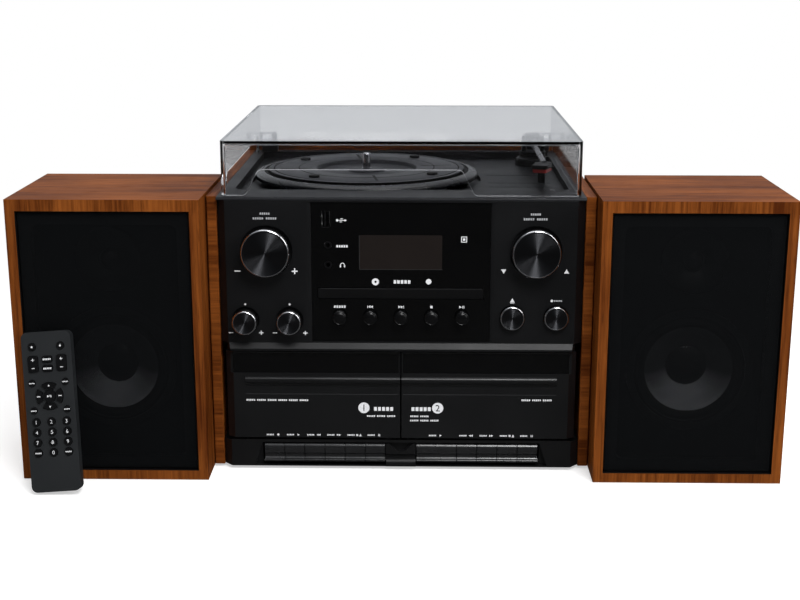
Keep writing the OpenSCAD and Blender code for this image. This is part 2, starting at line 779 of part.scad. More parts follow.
// Arm: tail block with a cross pin, tube, head and stylus
module tonearm() {
    color(metal) in_unit() translate([pivot_x, pivot_y, arm_z]) {
        rod_x(0, 0, 1.5, -10.3, 10.3);
        difference() {
            translate([0, 0, -5]) linear_extrude(10) soft_rect(-6.4, -10, 6.4, 22, 3);
            block([-7, 8, -6], [7, 10, -4]);
        }
        rod_y(0, 0, arm_tube_r, -arm_l + 16, -9);
        // head, turned inwards, with its cartridge, stylus and finger lift
        translate([2, -arm_l + 19, 0]) rotate(-20) {
            block([-7, -24, -2.4], [7, 2, 1]);
            block([-6.2, -23, -5.6], [6.2, -5, -2.3]);
            translate([0, -19, -6.6]) cylinder(r1 = 0.4, r2 = 1.6, h = 2);
            block([6, -23, -1], [12.5, -20, 0.4]);
        }
    }
}

// Sliding speed selector, its cap above the slot and its foot below the deck
module speed_switch() {
    color(metal) in_unit() translate([switch_x, switch_y, 0]) {
        block([-1.8, -2, deck_z0 - 1], [1.8, 2, recess_z + 4.5]);
        block([-3.8, -3, recess_z + 0.3], [3.8, 3, recess_z + 2]);
        block([-3.8, -3, deck_z0 - 2.2], [3.8, 3, deck_z0 - 0.4]);
    }
}

// ---------------------------------------------------------------- lid

// Clear lid: an open box with a finger notch in front and two hinge lugs behind
module dust_cover() {
    color(clear) in_unit() {
        difference() {
            translate([0, 0, lid_z0]) linear_extrude(lid_h)
                soft_rect(-lid_w / 2, lid_y0, lid_w / 2, lid_y1, 4);
            translate([0, 0, lid_z0 - cut]) linear_extrude(lid_h - lid_t + cut)
                soft_rect(-lid_w / 2 + lid_t, lid_y0 + lid_t, lid_w / 2 - lid_t, lid_y1 - lid_t, 2);
            translate([platter_x, 0, lid_z0]) from_front(lid_y0 - cut, lid_y0 + lid_t + cut)
                notch();
            // the record also stands out through the left wall and the rear one
            translate([0, platter_y, lid_z0])
                from_side(-lid_w / 2 - cut, -lid_w / 2 + lid_t + cut) low_notch(114);
            translate([platter_x, 0, lid_z0]) from_front(lid_y1 - lid_t - cut, lid_y1 + cut)
                low_notch(78);
        }
        for (side = [-1, 1]) {
            from_side(side * lug_x - lug_w / 2, side * lug_x + lug_w / 2) {
                translate([lid_pivot_y, lid_pivot_z]) circle(4.4);
                translate([lid_y1 - 1, lid_pivot_z - 4.4]) square([lid_pivot_y - lid_y1 + 1, 8.8]);
            }
            rod_x(lid_pivot_y, lid_pivot_z, lid_pin_r, side * lug_x - lug_w / 2 - ear_t,
                  side * lug_x + lug_w / 2 + ear_t);
        }
    }
}

// Low notch with rounded upper corners, open below
module low_notch(half) {
    r = 12;
    translate([-half, -cut]) square([2 * half, side_notch_h + cut - r]);
    translate([-half + r, -cut]) square([2 * (half - r), side_notch_h + cut]);
    for (x = [-half + r, half - r]) translate([x, side_notch_h - r]) circle(r);
}

// Notch outline: sloping sides, rounded upper corners and eased lower ones
module notch() {
    lean = 8;
    r = 6;
    a = atan(lean / notch_h);
    xc = -notch_half + (notch_h - r) * lean / notch_h + r / cos(a);
    foot = 5;
    fx = -notch_half + foot * (1 / cos(a) + tan(a)) - foot * tan(a) - 2 * foot / cos(a);
    for (side = [1, -1]) scale([side, 1]) {
        polygon([[0.1, -cut], [-notch_half - cut * tan(a), -cut],
                 [xc - r * cos(a), notch_h - r + r * sin(a)], [xc, notch_h], [0.1, notch_h]]);
        translate([xc, notch_h - r]) circle(r);
        // eased foot of the slope
        difference() {
            polygon([[-notch_half + 1, -cut], [fx, -cut], [fx, 0],
                     [-notch_half + foot * sin(a) + 0.2, foot * cos(a)]]);
            translate([fx, foot]) circle(foot);
        }
    }
}

// Fixed halves of the lid's hinges, two ears each on a foot let into the rail
module lid_hinges() {
    color(satin_black) in_unit() for (side = [-1, 1]) {
        x0 = side * lug_x - lug_w / 2 - 0.4;
        x1 = side * lug_x + lug_w / 2 + 0.4;
        difference() {
            union() {
                block([x0 - 5, rail_y0 + 0.4, rail_z1 - 1.5],
                      [x1 + 5, lid_pivot_y + ear_r + 0.4, rail_z1 + 0.6]);
                for (x = [x0 - ear_t, x1]) from_side(x, x + ear_t) {
                    translate([lid_pivot_y, lid_pivot_z]) circle(ear_r);
                    translate([lid_pivot_y - ear_r + 0.6, rail_z1])
                        square([2 * ear_r - 0.6, lid_pivot_z - rail_z1]);
                }
            }
            rod_x(lid_pivot_y, lid_pivot_z, lid_pin_r + running, x0 - 6, x1 + 6);
        }
    }
}

// ---------------------------------------------------------------- sockets and boards

// USB port and two jacks in front; phono sockets, aerial socket and mains inlet behind
module sockets() {
    y = rail_y0 + 1;
    color(metal) in_unit() {
        difference() {
            from_front(1.4, 14) soft_rect(usb_x - 3.1, usb_z - 6.8, usb_x + 3.1, usb_z + 6.8, 0.6);
            from_front(0, 12) soft_rect(usb_x - 2.6, usb_z - 6.2, usb_x + 2.6, usb_z + 6.2, 0.4);
        }
        block([usb_x - 1.6, 2.4, usb_z - 5.6], [usb_x + 0.2, 13, usb_z + 5.6]);
        for (z = jack_z) difference() {
            rod_y(jack_x, z, jack_ring_r - 0.1, 0.9, 16);
            rod_y(jack_x, z, jack_r, 0, 14);
        }
        for (x = phono_x, z = phono_z) difference() {
            union() {
                rod_y(x, z, 5, y - 6, y + 3.4);
                rod_y(x, z, 4.1, y + 3, unit_d - 1);
            }
            rod_y(x, z, 1.6, y - 2, unit_d);
        }
        difference() {
            union() {
                rod_y(96, 190, 5, y - 6, y + 3.4);
                rod_y(96, 190, 4.6, y + 3, unit_d - 1);
            }
            rod_y(96, 190, 1.2, y - 2, unit_d);
        }
        difference() {
            from_front(y - 12, y + 3.4) soft_rect(-125.6, 22.4, -102.4, 39.6, 2.3);
            from_front(y - 8, y + 4) {
                translate([-117.6, 31]) circle(4.4);
                translate([-110.4, 31]) circle(4.4);
                square_at(-117.6, 26.6, -110.4, 35.4);
            }
        }
        for (x = [-118, -110]) rod_y(x, 31, 1.2, y - 10, y + 1);
    }
}

// Main board on its standoffs, transformer, front control board and display module
module circuit_boards() {
    color(board) in_unit() {
        block([-136, 98, 14], [136, 252, 15.6]);
        block([-120, 196, 15.6], [-62, 242, 62]);
        block([-128, 200, 15.6], [-54, 238, 20]);
        for (x = [-20, 20, 60]) translate([x, 220, 15.6]) cylinder(r = 9, h = 24);
        block([20, 130, 15.6], [70, 134, 46]);
        // control boards behind the knobs, with their potentiometers and switches
        for (side = [-1, 1])
            block([side * 111 - 30, 17, 120], [side * 111 + 30, 18.6, 226]);
        for (at = [volume_at, scroll_at, bass_at, treble_at]) difference() {
            block([at[0] - 6, 8, at[1] - 6], [at[0] + 6, 17, at[1] + 6]);
            rod_y(at[0], at[1], shaft_r + running, 7, shaft_y1 + 1.5);
        }
        for (at = [eject_at, record_at])
            block([at[0] - 3, 9, at[1] - 3], [at[0] + 3, 17.2, at[1] + 3]);
        block([-62, 11, 126], [62, 12.6, 141]);
        for (i = [-2:2])
            block([i * button_pitch - 3, 8.4, button_z - 3], [i * button_pitch + 3, 11, button_z + 3]);
        // display module behind its window
        block([-lcd_half + 0.4, glass_y + 1.2, lcd_z0 + 0.4],
              [lcd_half - 0.4, 8, lcd_z1 - 0.4]);
        block([-54, 8, 168], [60, 9.6, 212]);
    }
}

// ---------------------------------------------------------------- loudspeakers

module at_speaker(side) {
    in_unit() translate([side * speaker_x, speaker_y0, 0]) children();
}

// Veneered box, open in front, with the baffle let in and the back panel glued in
module speaker_cabinet(side) {
    half = speaker_w / 2;
    color(wood) at_speaker(side) for (x = [-9, 9])
        block([x - 5, speaker_d - 7.2, 50], [x + 5, speaker_d - 1, 70]);
    color(wood) at_speaker(side) difference() {
        union() {
            difference() {
                block([-half, 0, 0], [half, speaker_d, speaker_h]);
                block([-half + speaker_wall, -cut, speaker_wall],
                      [half - speaker_wall, speaker_d - 9, speaker_h - speaker_wall - 1.5]);
            }
            block([-half + 2, baffle_y, 2], [half - 2, baffle_y + baffle_t, speaker_h - 2]);
        }
        rod_y(0, woofer_z, 43.5, baffle_y - cut, baffle_y + baffle_t + cut);
        rod_y(0, woofer_z, woofer_r + fit, baffle_y - cut, baffle_y + 3);
        rod_y(0, tweeter_z, 16, baffle_y - cut, baffle_y + baffle_t + cut);
        rod_y(0, tweeter_z, tweeter_r + fit, baffle_y - cut, baffle_y + 3);
        // terminal cup behind, and the holes of the grille's pegs
        from_front(speaker_d - 7, speaker_d + cut) soft_rect(-22, 44, 22, 76, 4);
        for (x = [-1, 1], z = [grille_z0 + 6, grille_z1 - 6])
            rod_y(x * (grille_half - 6), z, 3 + running, baffle_y - cut, baffle_y + 5);
    }
}

// Pressed basket with its rim, four arms, magnet and back plate
module woofer_frame(side) {
    color(grey) at_speaker(side) {
        y = baffle_y;
        difference() {
            translate([0, y, woofer_z]) rotate([-90, 0, 0]) rotate_extrude(convexity = 4)
                polygon([[46.4, 0.6], [woofer_r, 0.6], [woofer_r, 2.9], [43.2, 2.9],
                         [41.6, 9], [25, 27], [25, 30], [12.6, 30], [12.6, 27.6], [22, 27.6],
                         [40, 7.4], [41.4, 2.9], [43, 2.3], [46.4, 2.3]]);
            for (a = [0:90:270]) translate([0, y + 18, woofer_z]) rotate([0, a, 0])
                rotate([0, 45, 0]) block([-11, -7, 16], [11, 6, 46]);
        }
        rod_y(0, woofer_z, 30, y + 30, y + 44);
    }
}

// Paper cone with its rolled surround, dust cap and voice-coil tube
module woofer_cone(side) {
    color(satin_black) at_speaker(side)
        translate([0, baffle_y, woofer_z]) rotate([-90, 0, 0]) rotate_extrude(convexity = 4)
            polygon([[0, 9.4], [8, 10.4], [14, 12.8], [17, 15.2], [36.4, 3.4], [37.6, 1.4],
                     [39.4, 0.3], [41.6, 0.3], [43.4, 1.4], [44.6, 0], [46, 0], [46, 1.2],
                     [44.8, 1.9], [42.2, 1.9],
                     [40.8, 1.4], [39.8, 1.5], [38.4, 2.8], [37.4, 4.4], [17.4, 16.8],
                     [12, 19.4], [12, 26], [11, 26], [11, 18.4], [0, 18.4]]);
}

// Soft-dome high-note unit with a shallow horn
module tweeter(side) {
    color(satin_black) at_speaker(side)
        translate([0, baffle_y, tweeter_z]) rotate([-90, 0, 0]) rotate_extrude()
            polygon([[0, -0.6], [4.4, 0.2], [7.6, 2.6], [9, 5], [12, 3.4], [22, 0.4],
                     [tweeter_r, 0.4], [tweeter_r, 2.9], [15.6, 2.9], [15.6, 20], [0, 20]]);
}

// Grille: a rounded frame with four pegs, and the stretched cloth on its face
module speaker_grille(side) {
    half = grille_half;
    color(satin_black) at_speaker(side) {
        difference() {
            from_front(grille_y + 0.6, grille_y + grille_t)
                soft_rect(-half, grille_z0, half, grille_z1, 3);
            from_front(grille_y, grille_y + grille_t + cut)
                soft_rect(-half + 11, grille_z0 + 11, half - 11, grille_z1 - 11, 5);
        }
        from_front(grille_y, grille_y + 0.6) soft_rect(-half, grille_z0, half, grille_z1, 3);
        for (x = [-1, 1], z = [grille_z0 + 6, grille_z1 - 6])
            rod_y(x * (half - 6), z, 3, grille_y + grille_t - cut, baffle_y + 4);
    }
}

// ---------------------------------------------------------------- remote control

// Places what is drawn with the remote flat against y = 0, its foot at z = 0
module at_remote() {
    in_unit() translate([remote_x, remote_y, 0]) rotate([-remote_lean, 0, 0])
        translate([0, 0, remote_lift]) rotate([0, -remote_tilt, 0]) children();
}

// Two-part shell, split by a groove, with a sunk face for the keypad
module remote_shell() {
    half = remote_w / 2;
    color(satin_black) at_remote() difference() {
        union() {
            from_front(-remote_t, -remote_t / 2 - 0.3)
                soft_rect(-half, 0, half, remote_l, remote_corner);
            from_front(-remote_t / 2 - 0.3, -remote_t / 2 + 0.3)
                soft_rect(-half + 0.6, 0.6, half - 0.6, remote_l - 0.6, remote_corner - 0.6);
            from_front(-remote_t / 2 + 0.3, 0)
                soft_rect(-half, 0, half, remote_l, remote_corner);
        }
        remote_keys(0.35, -remote_t - cut, -remote_t + 2.6);
        from_front(-remote_t + 1.6, -remote_t + 2.6) soft_rect(-half + 2.5, 14, half - 2.5,
            remote_l - 6, 2);
    }
}

// Rubber mat with all the keys moulded on it
module remote_keypad() {
    color(gloss_black) at_remote() {
        remote_keys(0, -remote_t - 1, -remote_t + 1.8);
        from_front(-remote_t + 1.7, -remote_t + 2.5) soft_rect(-remote_w / 2 + 2.7, 14.2,
            remote_w / 2 - 2.7, remote_l - 6.2, 1.8);
    }
}

// Outlines of the keys, grown by g, between two depths
module remote_keys(g, y0, y1) {
    column = 12.4;
    from_front(y0, y1) {
        // power and mode
        for (x = [-11.6, 11.6]) translate([x, remote_l - 12]) circle(3 + g);
        // preset and volume rockers, and the two keys between them
        for (x = [-11.6, 11.6])
            soft_rect(x - 4 - g, remote_l - 32.5 - g, x + 4 + g, remote_l - 19.5 + g, 1.5 + g);
        for (z = [-25, -32.5])
            soft_rect(-4 - g, remote_l + z - g, 4 + g, remote_l + z + 5 + g, 1.5 + g);
        // small keys round the ring
        for (x = [-13.6, 13.6], z = [-41.5, -64])
            translate([x, remote_l + z]) circle(2.6 + g);
        // ring: centre key and four keys round it
        translate([0, remote_l - 52.6]) circle(5 + g);
        for (a = [0:90:270]) translate([0, remote_l - 52.6]) rotate(a)
            intersection() {
                difference() {
                    circle(11 + g);
                    circle(6.4 - g);
                }
                polygon([[0, 0], [-9.4, 14], [9.4, 14]]);
            }
        // digits and the bottom row
        for (row = [0:3], col = [-1:1])
            translate([col * column, remote_l - 73.5 - 8.4 * row]) circle(3.2 + g);
    }
}

// ---------------------------------------------------------------- nodes

wood_cabinet();
base_tray();
rear_cover();
front_fascia();
display_panel();
key_panel();
sockets();
turntable_deck();
spindle();
tonearm_base();
cassette_mechanisms();
cd_loader();
circuit_boards();
lid_hinges();
control_shaft(volume_at);  // volume_shaft
knob(volume_at, big_knob_r, true);  // volume_knob
control_shaft(scroll_at);  // scroll_shaft
knob(scroll_at, big_knob_r, true);  // scroll_knob
tone_knob(bass_at);  // bass_knob
tone_knob(treble_at);  // treble_knob
round_button(eject_at);  // eject_button
round_button(record_at);  // record_button
small_button(-2);  // info_button
small_button(-1);  // previous_button
small_button(0);  // next_button
small_button(1);  // stop_button
small_button(2);  // play_button
cassette_door(-1);  // cassette_door_left
cassette_door(1);  // cassette_door_right
door_window(-1);  // door_window_left
door_window(1);  // door_window_right
left_key(0);  // key_left_record
left_key(1);  // key_left_play
left_key(2);  // key_left_rewind
left_key(3);  // key_left_forward
left_key(4);  // key_left_stop
left_key(5);  // key_left_pause
wide_key();  // key_right_play
right_key(2);  // key_right_rewind
right_key(3);  // key_right_forward
right_key(4);  // key_right_stop
right_key(5);  // key_right_pause
cd_tray();
platter();
tonearm_turret();
tonearm();
speed_switch();
dust_cover();
speaker_cabinet(-1);  // left_speaker_cabinet
woofer_frame(-1);  // left_speaker_woofer_frame
woofer_cone(-1);  // left_speaker_woofer_cone
tweeter(-1);  // left_speaker_tweeter
speaker_grille(-1);  // left_speaker_grille
speaker_cabinet(1);  // right_speaker_cabinet
woofer_frame(1);  // right_speaker_woofer_frame
woofer_cone(1);  // right_speaker_woofer_cone
tweeter(1);  // right_speaker_tweeter
speaker_grille(1);  // right_speaker_grille
remote_shell();
remote_keypad();
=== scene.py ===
"""Looks of a stereo music centre, made around its packed construction.

The set stands on z = 0 with its front towards -Y. Sub-assemblies hold their sizes in millimetres of
the main unit's own frame, whose y = 0 is the plane of the front, and a LocalFrame turns these into
metres of the row frame. Angles are radians unless a name says otherwise.
"""

from __future__ import annotations

import functools
import json
import logging
import math
from collections.abc import Callable, Iterable, Sequence
from dataclasses import dataclass, field
from enum import Enum

import bmesh
import bpy
import numpy as np
from mathutils import Matrix, Vector

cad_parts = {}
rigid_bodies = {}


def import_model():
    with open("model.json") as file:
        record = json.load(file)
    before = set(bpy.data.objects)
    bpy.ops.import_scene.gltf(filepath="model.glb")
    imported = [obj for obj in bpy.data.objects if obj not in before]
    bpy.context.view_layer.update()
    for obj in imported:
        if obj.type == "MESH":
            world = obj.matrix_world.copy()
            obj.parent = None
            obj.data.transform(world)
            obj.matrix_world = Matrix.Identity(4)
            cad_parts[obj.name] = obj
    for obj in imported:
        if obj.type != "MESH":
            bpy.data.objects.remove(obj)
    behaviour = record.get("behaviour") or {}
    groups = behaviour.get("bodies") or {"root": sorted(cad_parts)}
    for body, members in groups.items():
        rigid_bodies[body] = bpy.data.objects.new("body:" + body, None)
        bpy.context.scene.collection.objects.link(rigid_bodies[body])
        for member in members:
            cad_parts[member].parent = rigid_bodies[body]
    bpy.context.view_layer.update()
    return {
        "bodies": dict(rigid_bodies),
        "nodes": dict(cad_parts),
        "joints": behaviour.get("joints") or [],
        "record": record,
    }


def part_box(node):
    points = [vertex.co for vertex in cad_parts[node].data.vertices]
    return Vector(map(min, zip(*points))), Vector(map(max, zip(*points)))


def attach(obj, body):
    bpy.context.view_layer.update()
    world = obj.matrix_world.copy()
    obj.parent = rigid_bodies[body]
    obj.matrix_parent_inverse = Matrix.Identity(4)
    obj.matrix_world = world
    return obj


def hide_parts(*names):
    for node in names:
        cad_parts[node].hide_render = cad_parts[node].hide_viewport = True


LOG = logging.getLogger("music_centre")
MM = 0.001
TURN_UV = "turning"
CLOTH_UV = "weave"
UNIT_DEPTH = 286.0  # millimetres from the plane of the front to the back of the wood
BUTTON_OUT = 6.0  # a cap that stands out less is a push button
FACING = 0.7  # a face looks along an axis where that part of its normal is greater
WELD, SEAM = 0.00001, 2e-6  # metres within which points merge, on solids and on new pieces
PRINT_PROUD, PRINT_SUNK = 0.05, 0.02  # millimetres of a print before and behind its plane
BEVEL_FROM, SMOOTH_UP_TO = math.radians(30), math.radians(33)
QUARTER = np.array([[0.0, 1.0], [-1.0, 0.0]])  # turns rows of points by a quarter turn
Colour = tuple[float, float, float]
Point = tuple[float, float, float]
Loop = np.ndarray  # (n, 2) points of a closed outline
Socket = bpy.types.NodeSocket
Sockets = bpy.types.NodeOutputs
Input = "float | Sequence[float] | Socket"


class Slot(Enum):
    """The record's material slots that new pieces take their finish from."""

    WOOD = "wood_veneer"
    BLACK = "black_plastic"
    GLOSS = "gloss_black"
    SPUN = "spun_metal"
    BRIGHT = "bright_metal"
    LID = "clear_lid"
    PLATTER = "platter_black"
    DARK_METAL = "dark_metal"
    CONE = "paper_cone"
    CLOTH = "grille_cloth"
    RUBBER = "soft_rubber"


class Axis(Enum):
    """Directions along which a piece is turned or pushed out."""

    FRONT = (0.0, -1.0, 0.0)
    BACK = (0.0, 1.0, 0.0)
    UP = (0.0, 0.0, 1.0)
    RIGHT = (1.0, 0.0, 0.0)

    def basis(self) -> np.ndarray:
        """Returns three rows: two directions across the axis, then the axis itself."""
        along = np.array(self.value)
        first = np.array((0.0, 0.0, 1.0)) if self is Axis.RIGHT else np.array((1.0, 0.0, 0.0))
        return np.stack([first, np.cross(along, first), along])


# ------------------------------------------------------------------ frames and shapes


@dataclass(frozen=True)
class LocalFrame:
    """Where a sub-assembly's millimetres lie in the row frame."""

    matrix: Matrix

    def rows(self, points: np.ndarray) -> np.ndarray:
        """Turns millimetres into metres of the row frame: rotation times point plus origin.

        Args:
            points: (n, 3) places in the local frame.

        Returns:
            The same places in the row frame.
        """
        turn = np.array(self.matrix.to_3x3())
        return (points @ turn.T + np.array(self.matrix.translation)) * MM

    def shifted(self, x: float, y: float, z: float) -> LocalFrame:
        """The same frame with its origin moved by that many millimetres."""
        return LocalFrame(self.matrix @ Matrix.Translation((x, y, z)))

    def turned(self, angle: float, axis: str) -> LocalFrame:
        """The same frame, turned about one of its own axes."""
        return LocalFrame(self.matrix @ Matrix.Rotation(angle, 4, axis))


@dataclass
class Shape:
    """Points in millimetres and the faces over them, each with the number of its finish."""

    points: np.ndarray
    faces: list[tuple[int, ...]]
    looks: list[int] = field(default_factory=list)
    uv: np.ndarray | None = None
    uv_name: str = TURN_UV

    def __post_init__(self) -> None:
        """Faces without a stated finish take the first."""
        if not self.looks:
            self.looks = [0] * len(self.faces)

    def look(self, number: int) -> Shape:
        """The same shape with every face in one finish."""
        return Shape(self.points, self.faces, [number] * len(self.faces), self.uv, self.uv_name)

    @staticmethod
    def joined(parts: Sequence[Shape]) -> Shape:
        """Puts several shapes together as the islands of one.

        Args:
            parts: The shapes.

        Returns:
            One shape, whose map is 0 on parts that have none.
        """
        starts = np.cumsum([0] + [len(p.points) for p in parts[:-1]])
        faces = [tuple(i + s for i in f) for p, s in zip(parts, starts.tolist()) for f in p.faces]
        looks = [n for p in parts for n in p.looks]
        uv = np.concatenate([np.zeros((len(p.points), 2)) if p.uv is None else p.uv for p in parts])
        return Shape(np.concatenate([p.points for p in parts]), faces, looks, uv)


def grid_faces(rows: int, columns: int, close_rows: bool, close_columns: bool) -> np.ndarray:
    """Quads between the neighbours of a grid whose points are numbered row by row.

    Args:
        rows: Points along the first parameter.
        columns: Points along the second parameter.
        close_rows: Whether the last row meets the first.
        close_columns: Whether the last column meets the first.

    Returns:
        (n, 4) point numbers.
    """
    i, j = np.meshgrid(
        np.arange(rows - (not close_rows)), np.arange(columns - (not close_columns)), indexing="ij"
    )
    up, right = (i + 1) % rows, (j + 1) % columns
    corners = [i * columns + j, i * columns + right, up * columns + right, up * columns + j]
    return np.stack(corners, axis=-1).reshape(-1, 4)


def surface(grid: np.ndarray, close_rows: bool = False, close_columns: bool = False) -> Shape:
    """Covers a grid of points.

    Args:
        grid: (rows, columns, 3) points.
        close_rows: Whether the last row meets the first.
        close_columns: Whether the last column meets the first.

    Returns:
        The shape, with a quad between each four neighbours.
    """
    rows, columns = grid.shape[:2]
    faces = grid_faces(rows, columns, close_rows, close_columns)
    return Shape(grid.reshape(-1, 3), [tuple(f) for f in faces.tolist()])


def turned(
    profile: Sequence[tuple[float, float]],
    centre: tuple[float, float, float],
    axis: Axis,
    segments: int = 96,
    looks: Sequence[int] = (),
) -> Shape:
    """A turned piece: a profile point (r, h) goes round to r cos t, r sin t, h on the axis's basis.

    Args:
        profile: Radius and distance along the axis, point by point.
        centre: Where the axis starts.
        axis: Its direction.
        segments: Steps round.
        looks: The finish of each band between two profile points; the last one lasts.

    Returns:
        The shape, with turns as u and the length along the profile as v. Its seam and its points at
        radius 0 are merged when it becomes a mesh.
    """
    r, h = np.array(profile, float).T
    t = np.linspace(0, 2 * math.pi, segments + 1)
    local = np.stack(
        [np.outer(r, np.cos(t)), np.outer(r, np.sin(t)), np.outer(h, np.ones_like(t))], axis=-1
    )
    shape = surface(local @ axis.basis() + np.array(centre))
    along = np.concatenate([[0.0], np.cumsum(np.hypot(np.diff(r), np.diff(h)))])
    u, v = np.meshgrid(t / (2 * math.pi), along / max(along[-1], 1e-6))
    shape.uv = np.stack([u, v], axis=-1).reshape(-1, 2)
    if looks:
        bands = [looks[min(i, len(looks) - 1)] for i in range(len(profile) - 1)]
        shape.looks = [n for n in bands for _ in range(segments)]
    return shape


def pushed(loop: Loop, start: float, end: float, axis: Axis = Axis.FRONT) -> Shape:
    """A flat outline pushed along an axis, closed by a face at each end.

    Args:
        loop: Points across the axis: X and Z for FRONT, X and Y for UP, Y and Z for RIGHT.
        start: First place along the axis's coordinate (y, z or x).
        end: Last place.
        axis: The direction that the outline is square to.

    Returns:
        The closed prism.
    """
    order = {Axis.FRONT: (0, 2, 1), Axis.BACK: (0, 2, 1), Axis.UP: (0, 1, 2), Axis.RIGHT: (1, 2, 0)}
    count = len(loop)
    ends = np.concatenate([np.full(count, start), np.full(count, end)])
    points = np.empty((2 * count, 3))
    points[:, list(order[axis])] = np.column_stack([np.concatenate([loop, loop]), ends])
    sides = grid_faces(2, count, False, True)
    caps = [tuple(range(count - 1, -1, -1)), tuple(range(count, 2 * count))]
    return Shape(points, [tuple(f) for f in sides.tolist()] + caps)


def rounded(x0: float, z0: float, x1: float, z1: float, r: float, steps: int = 7) -> Loop:
    """Rectangle with a quarter circle at each corner.

    Args:
        x0: Its left side.
        z0: Its lower side.
        x1: Its right side.
        z1: Its upper side.
        r: The radius of its corners.
        steps: Points round each corner.

    Returns:
        The closed outline.
    """
    a = np.linspace(0, math.pi / 2, steps)
    quarter = r * np.stack([np.cos(a), np.sin(a)], axis=-1)
    arcs = []
    for centre in ((x1 - r, z1 - r), (x0 + r, z1 - r), (x0 + r, z0 + r), (x1 - r, z0 + r)):
        arcs.append(quarter + centre)
        quarter = quarter @ QUARTER
    return np.concatenate(arcs)


def disc(x: float, z: float, r: float, steps: int = 32) -> Loop:
    """Circle about (x, z); few steps give a polygon that points upwards."""
    a = np.linspace(0, 2 * math.pi, steps, endpoint=False) + math.pi / 2
    return np.stack([x + r * np.cos(a), z + r * np.sin(a)], axis=-1)


def bar(x: float, z: float, width: float, height: float) -> Loop:
    """Upright rectangle about (x, z)."""
    half_w, half_h = width / 2, height / 2
    return np.array([(x - half_w, z - half_h), (x + half_w, z - half_h),
                     (x + half_w, z + half_h), (x - half_w, z + half_h)])


def upright(loop: Loop, y: float) -> np.ndarray:
    """Stands an outline in X and Z at a depth y, as (n, 3) points."""
    return np.column_stack([loop[:, 0], np.full(len(loop), y), loop[:, 1]])


def headed(loop: Loop, heading: float) -> Loop:
    """Turns an outline about the origin by a heading, anticlockwise."""
    c, s = math.cos(heading), math.sin(heading)
    return loop @ np.array([[c, s], [-s, c]])


def pointer(x: float, z: float, size: float, heading: float) -> Loop:
    """Triangle about (x, z).

    Args:
        x: Its middle sideways.
        z: Its middle upwards.
        size: Its height and its length are this, and nine tenths of it.
        heading: Where its tip points: 0 to the right, a quarter turn up.

    Returns:
        The closed outline.
    """
    tip = np.array([(0.5, 0.0), (-0.4, 0.5), (-0.4, -0.5)]) * size
    return headed(tip, heading) + (x, z)


def band(x: float, z: float, r0: float, r1: float, start: float, end: float,
         steps: int = 24) -> Loop:
    """Part of a flat ring about (x, z).

    Args:
        x: The ring's middle sideways.
        z: The ring's middle upwards.
        r0: Its inner radius.
        r1: Its outer radius.
        start: The heading at which it starts.
        end: The heading at which it ends.
        steps: Points along each side.

    Returns:
        The closed outline.
    """
    a = np.linspace(start, end, steps)
    out = np.stack([np.cos(a), np.sin(a)], axis=-1)
    return np.concatenate([out * r1, out[::-1] * r0]) + (x, z)


def cross(x: float, z: float, size: float, arm: float) -> Loop:
    """Plus sign about (x, z) as one twelve-sided outline.

    Args:
        x: Its middle sideways.
        z: Its middle upwards.
        size: Its width and height.
        arm: The width of its arms.

    Returns:
        The closed outline.
    """
    a, b = size / 2, arm / 2
    parts = [np.array([(a, -b), (a, b), (b, b)])]
    for _ in range(3):
        parts.append(parts[-1] @ QUARTER)
    return np.concatenate(parts) + (x, z)


def swept(path: np.ndarray, up: np.ndarray, profile: np.ndarray) -> Shape:
    """A profile carried along an open path.

    A point is path + a * side + b * lift, where side is the tangent crossed with the up vector,
    lift is side crossed with the tangent, and (a, b) runs over the profile.

    Args:
        path: (n, 3) points.
        up: A direction that the path never follows.
        profile: (m, 2) points of a closed outline.

    Returns:
        The swept shape, with its ends capped.
    """
    tangent = np.gradient(path, axis=0)
    tangent /= np.linalg.norm(tangent, axis=1, keepdims=True)
    side = np.cross(tangent, up)
    side /= np.linalg.norm(side, axis=1, keepdims=True)
    lift = np.cross(side, tangent)
    sideways, upwards = profile[None, :, :1] * side[:, None], profile[None, :, 1:] * lift[:, None]
    shape = surface(path[:, None] + sideways + upwards, close_columns=True)
    count, last = len(profile), len(path) * len(profile)
    shape.faces += [tuple(range(count)), tuple(range(last - 1, last - count - 1, -1))]
    shape.looks += [0, 0]
    return shape


def numeral(text: str, height: float, x: float, z: float, y: float, thick: float) -> Shape:
    """A plain digit, centred on (x, z) and standing out of the plane y towards the front.

    Args:
        text: The digit.
        height: Its height.
        x: Middle of the digit, sideways.
        z: Middle of the digit, upwards.
        y: The plane that it is printed on.
        thick: How far it stands out.

    Returns:
        The closed digit as a shape.
    """
    curve = bpy.data.curves.new("digit", "FONT")
    curve.body, curve.size = text, 1.0
    curve.extrude, curve.resolution_u = 0.5, 3
    holder = bpy.data.objects.new("digit", curve)
    mesh = bpy.data.meshes.new_from_object(holder)
    flat = np.empty(len(mesh.vertices) * 3)
    mesh.vertices.foreach_get("co", flat)
    flat = flat.reshape(-1, 3)
    faces = [tuple(p.vertices) for p in mesh.polygons]
    low, high = flat.min(0), flat.max(0)
    scale = height / (high[1] - low[1])
    across, up, out = ((flat - (low + high) / 2) * (scale, scale, thick)).T
    points = np.stack([across + x, y - thick / 2 - out, up + z], axis=-1)
    bpy.data.objects.remove(holder)
    bpy.data.meshes.remove(mesh)
    bpy.data.curves.remove(curve)
    return Shape(points, faces)


# ------------------------------------------------------------------ node wiring


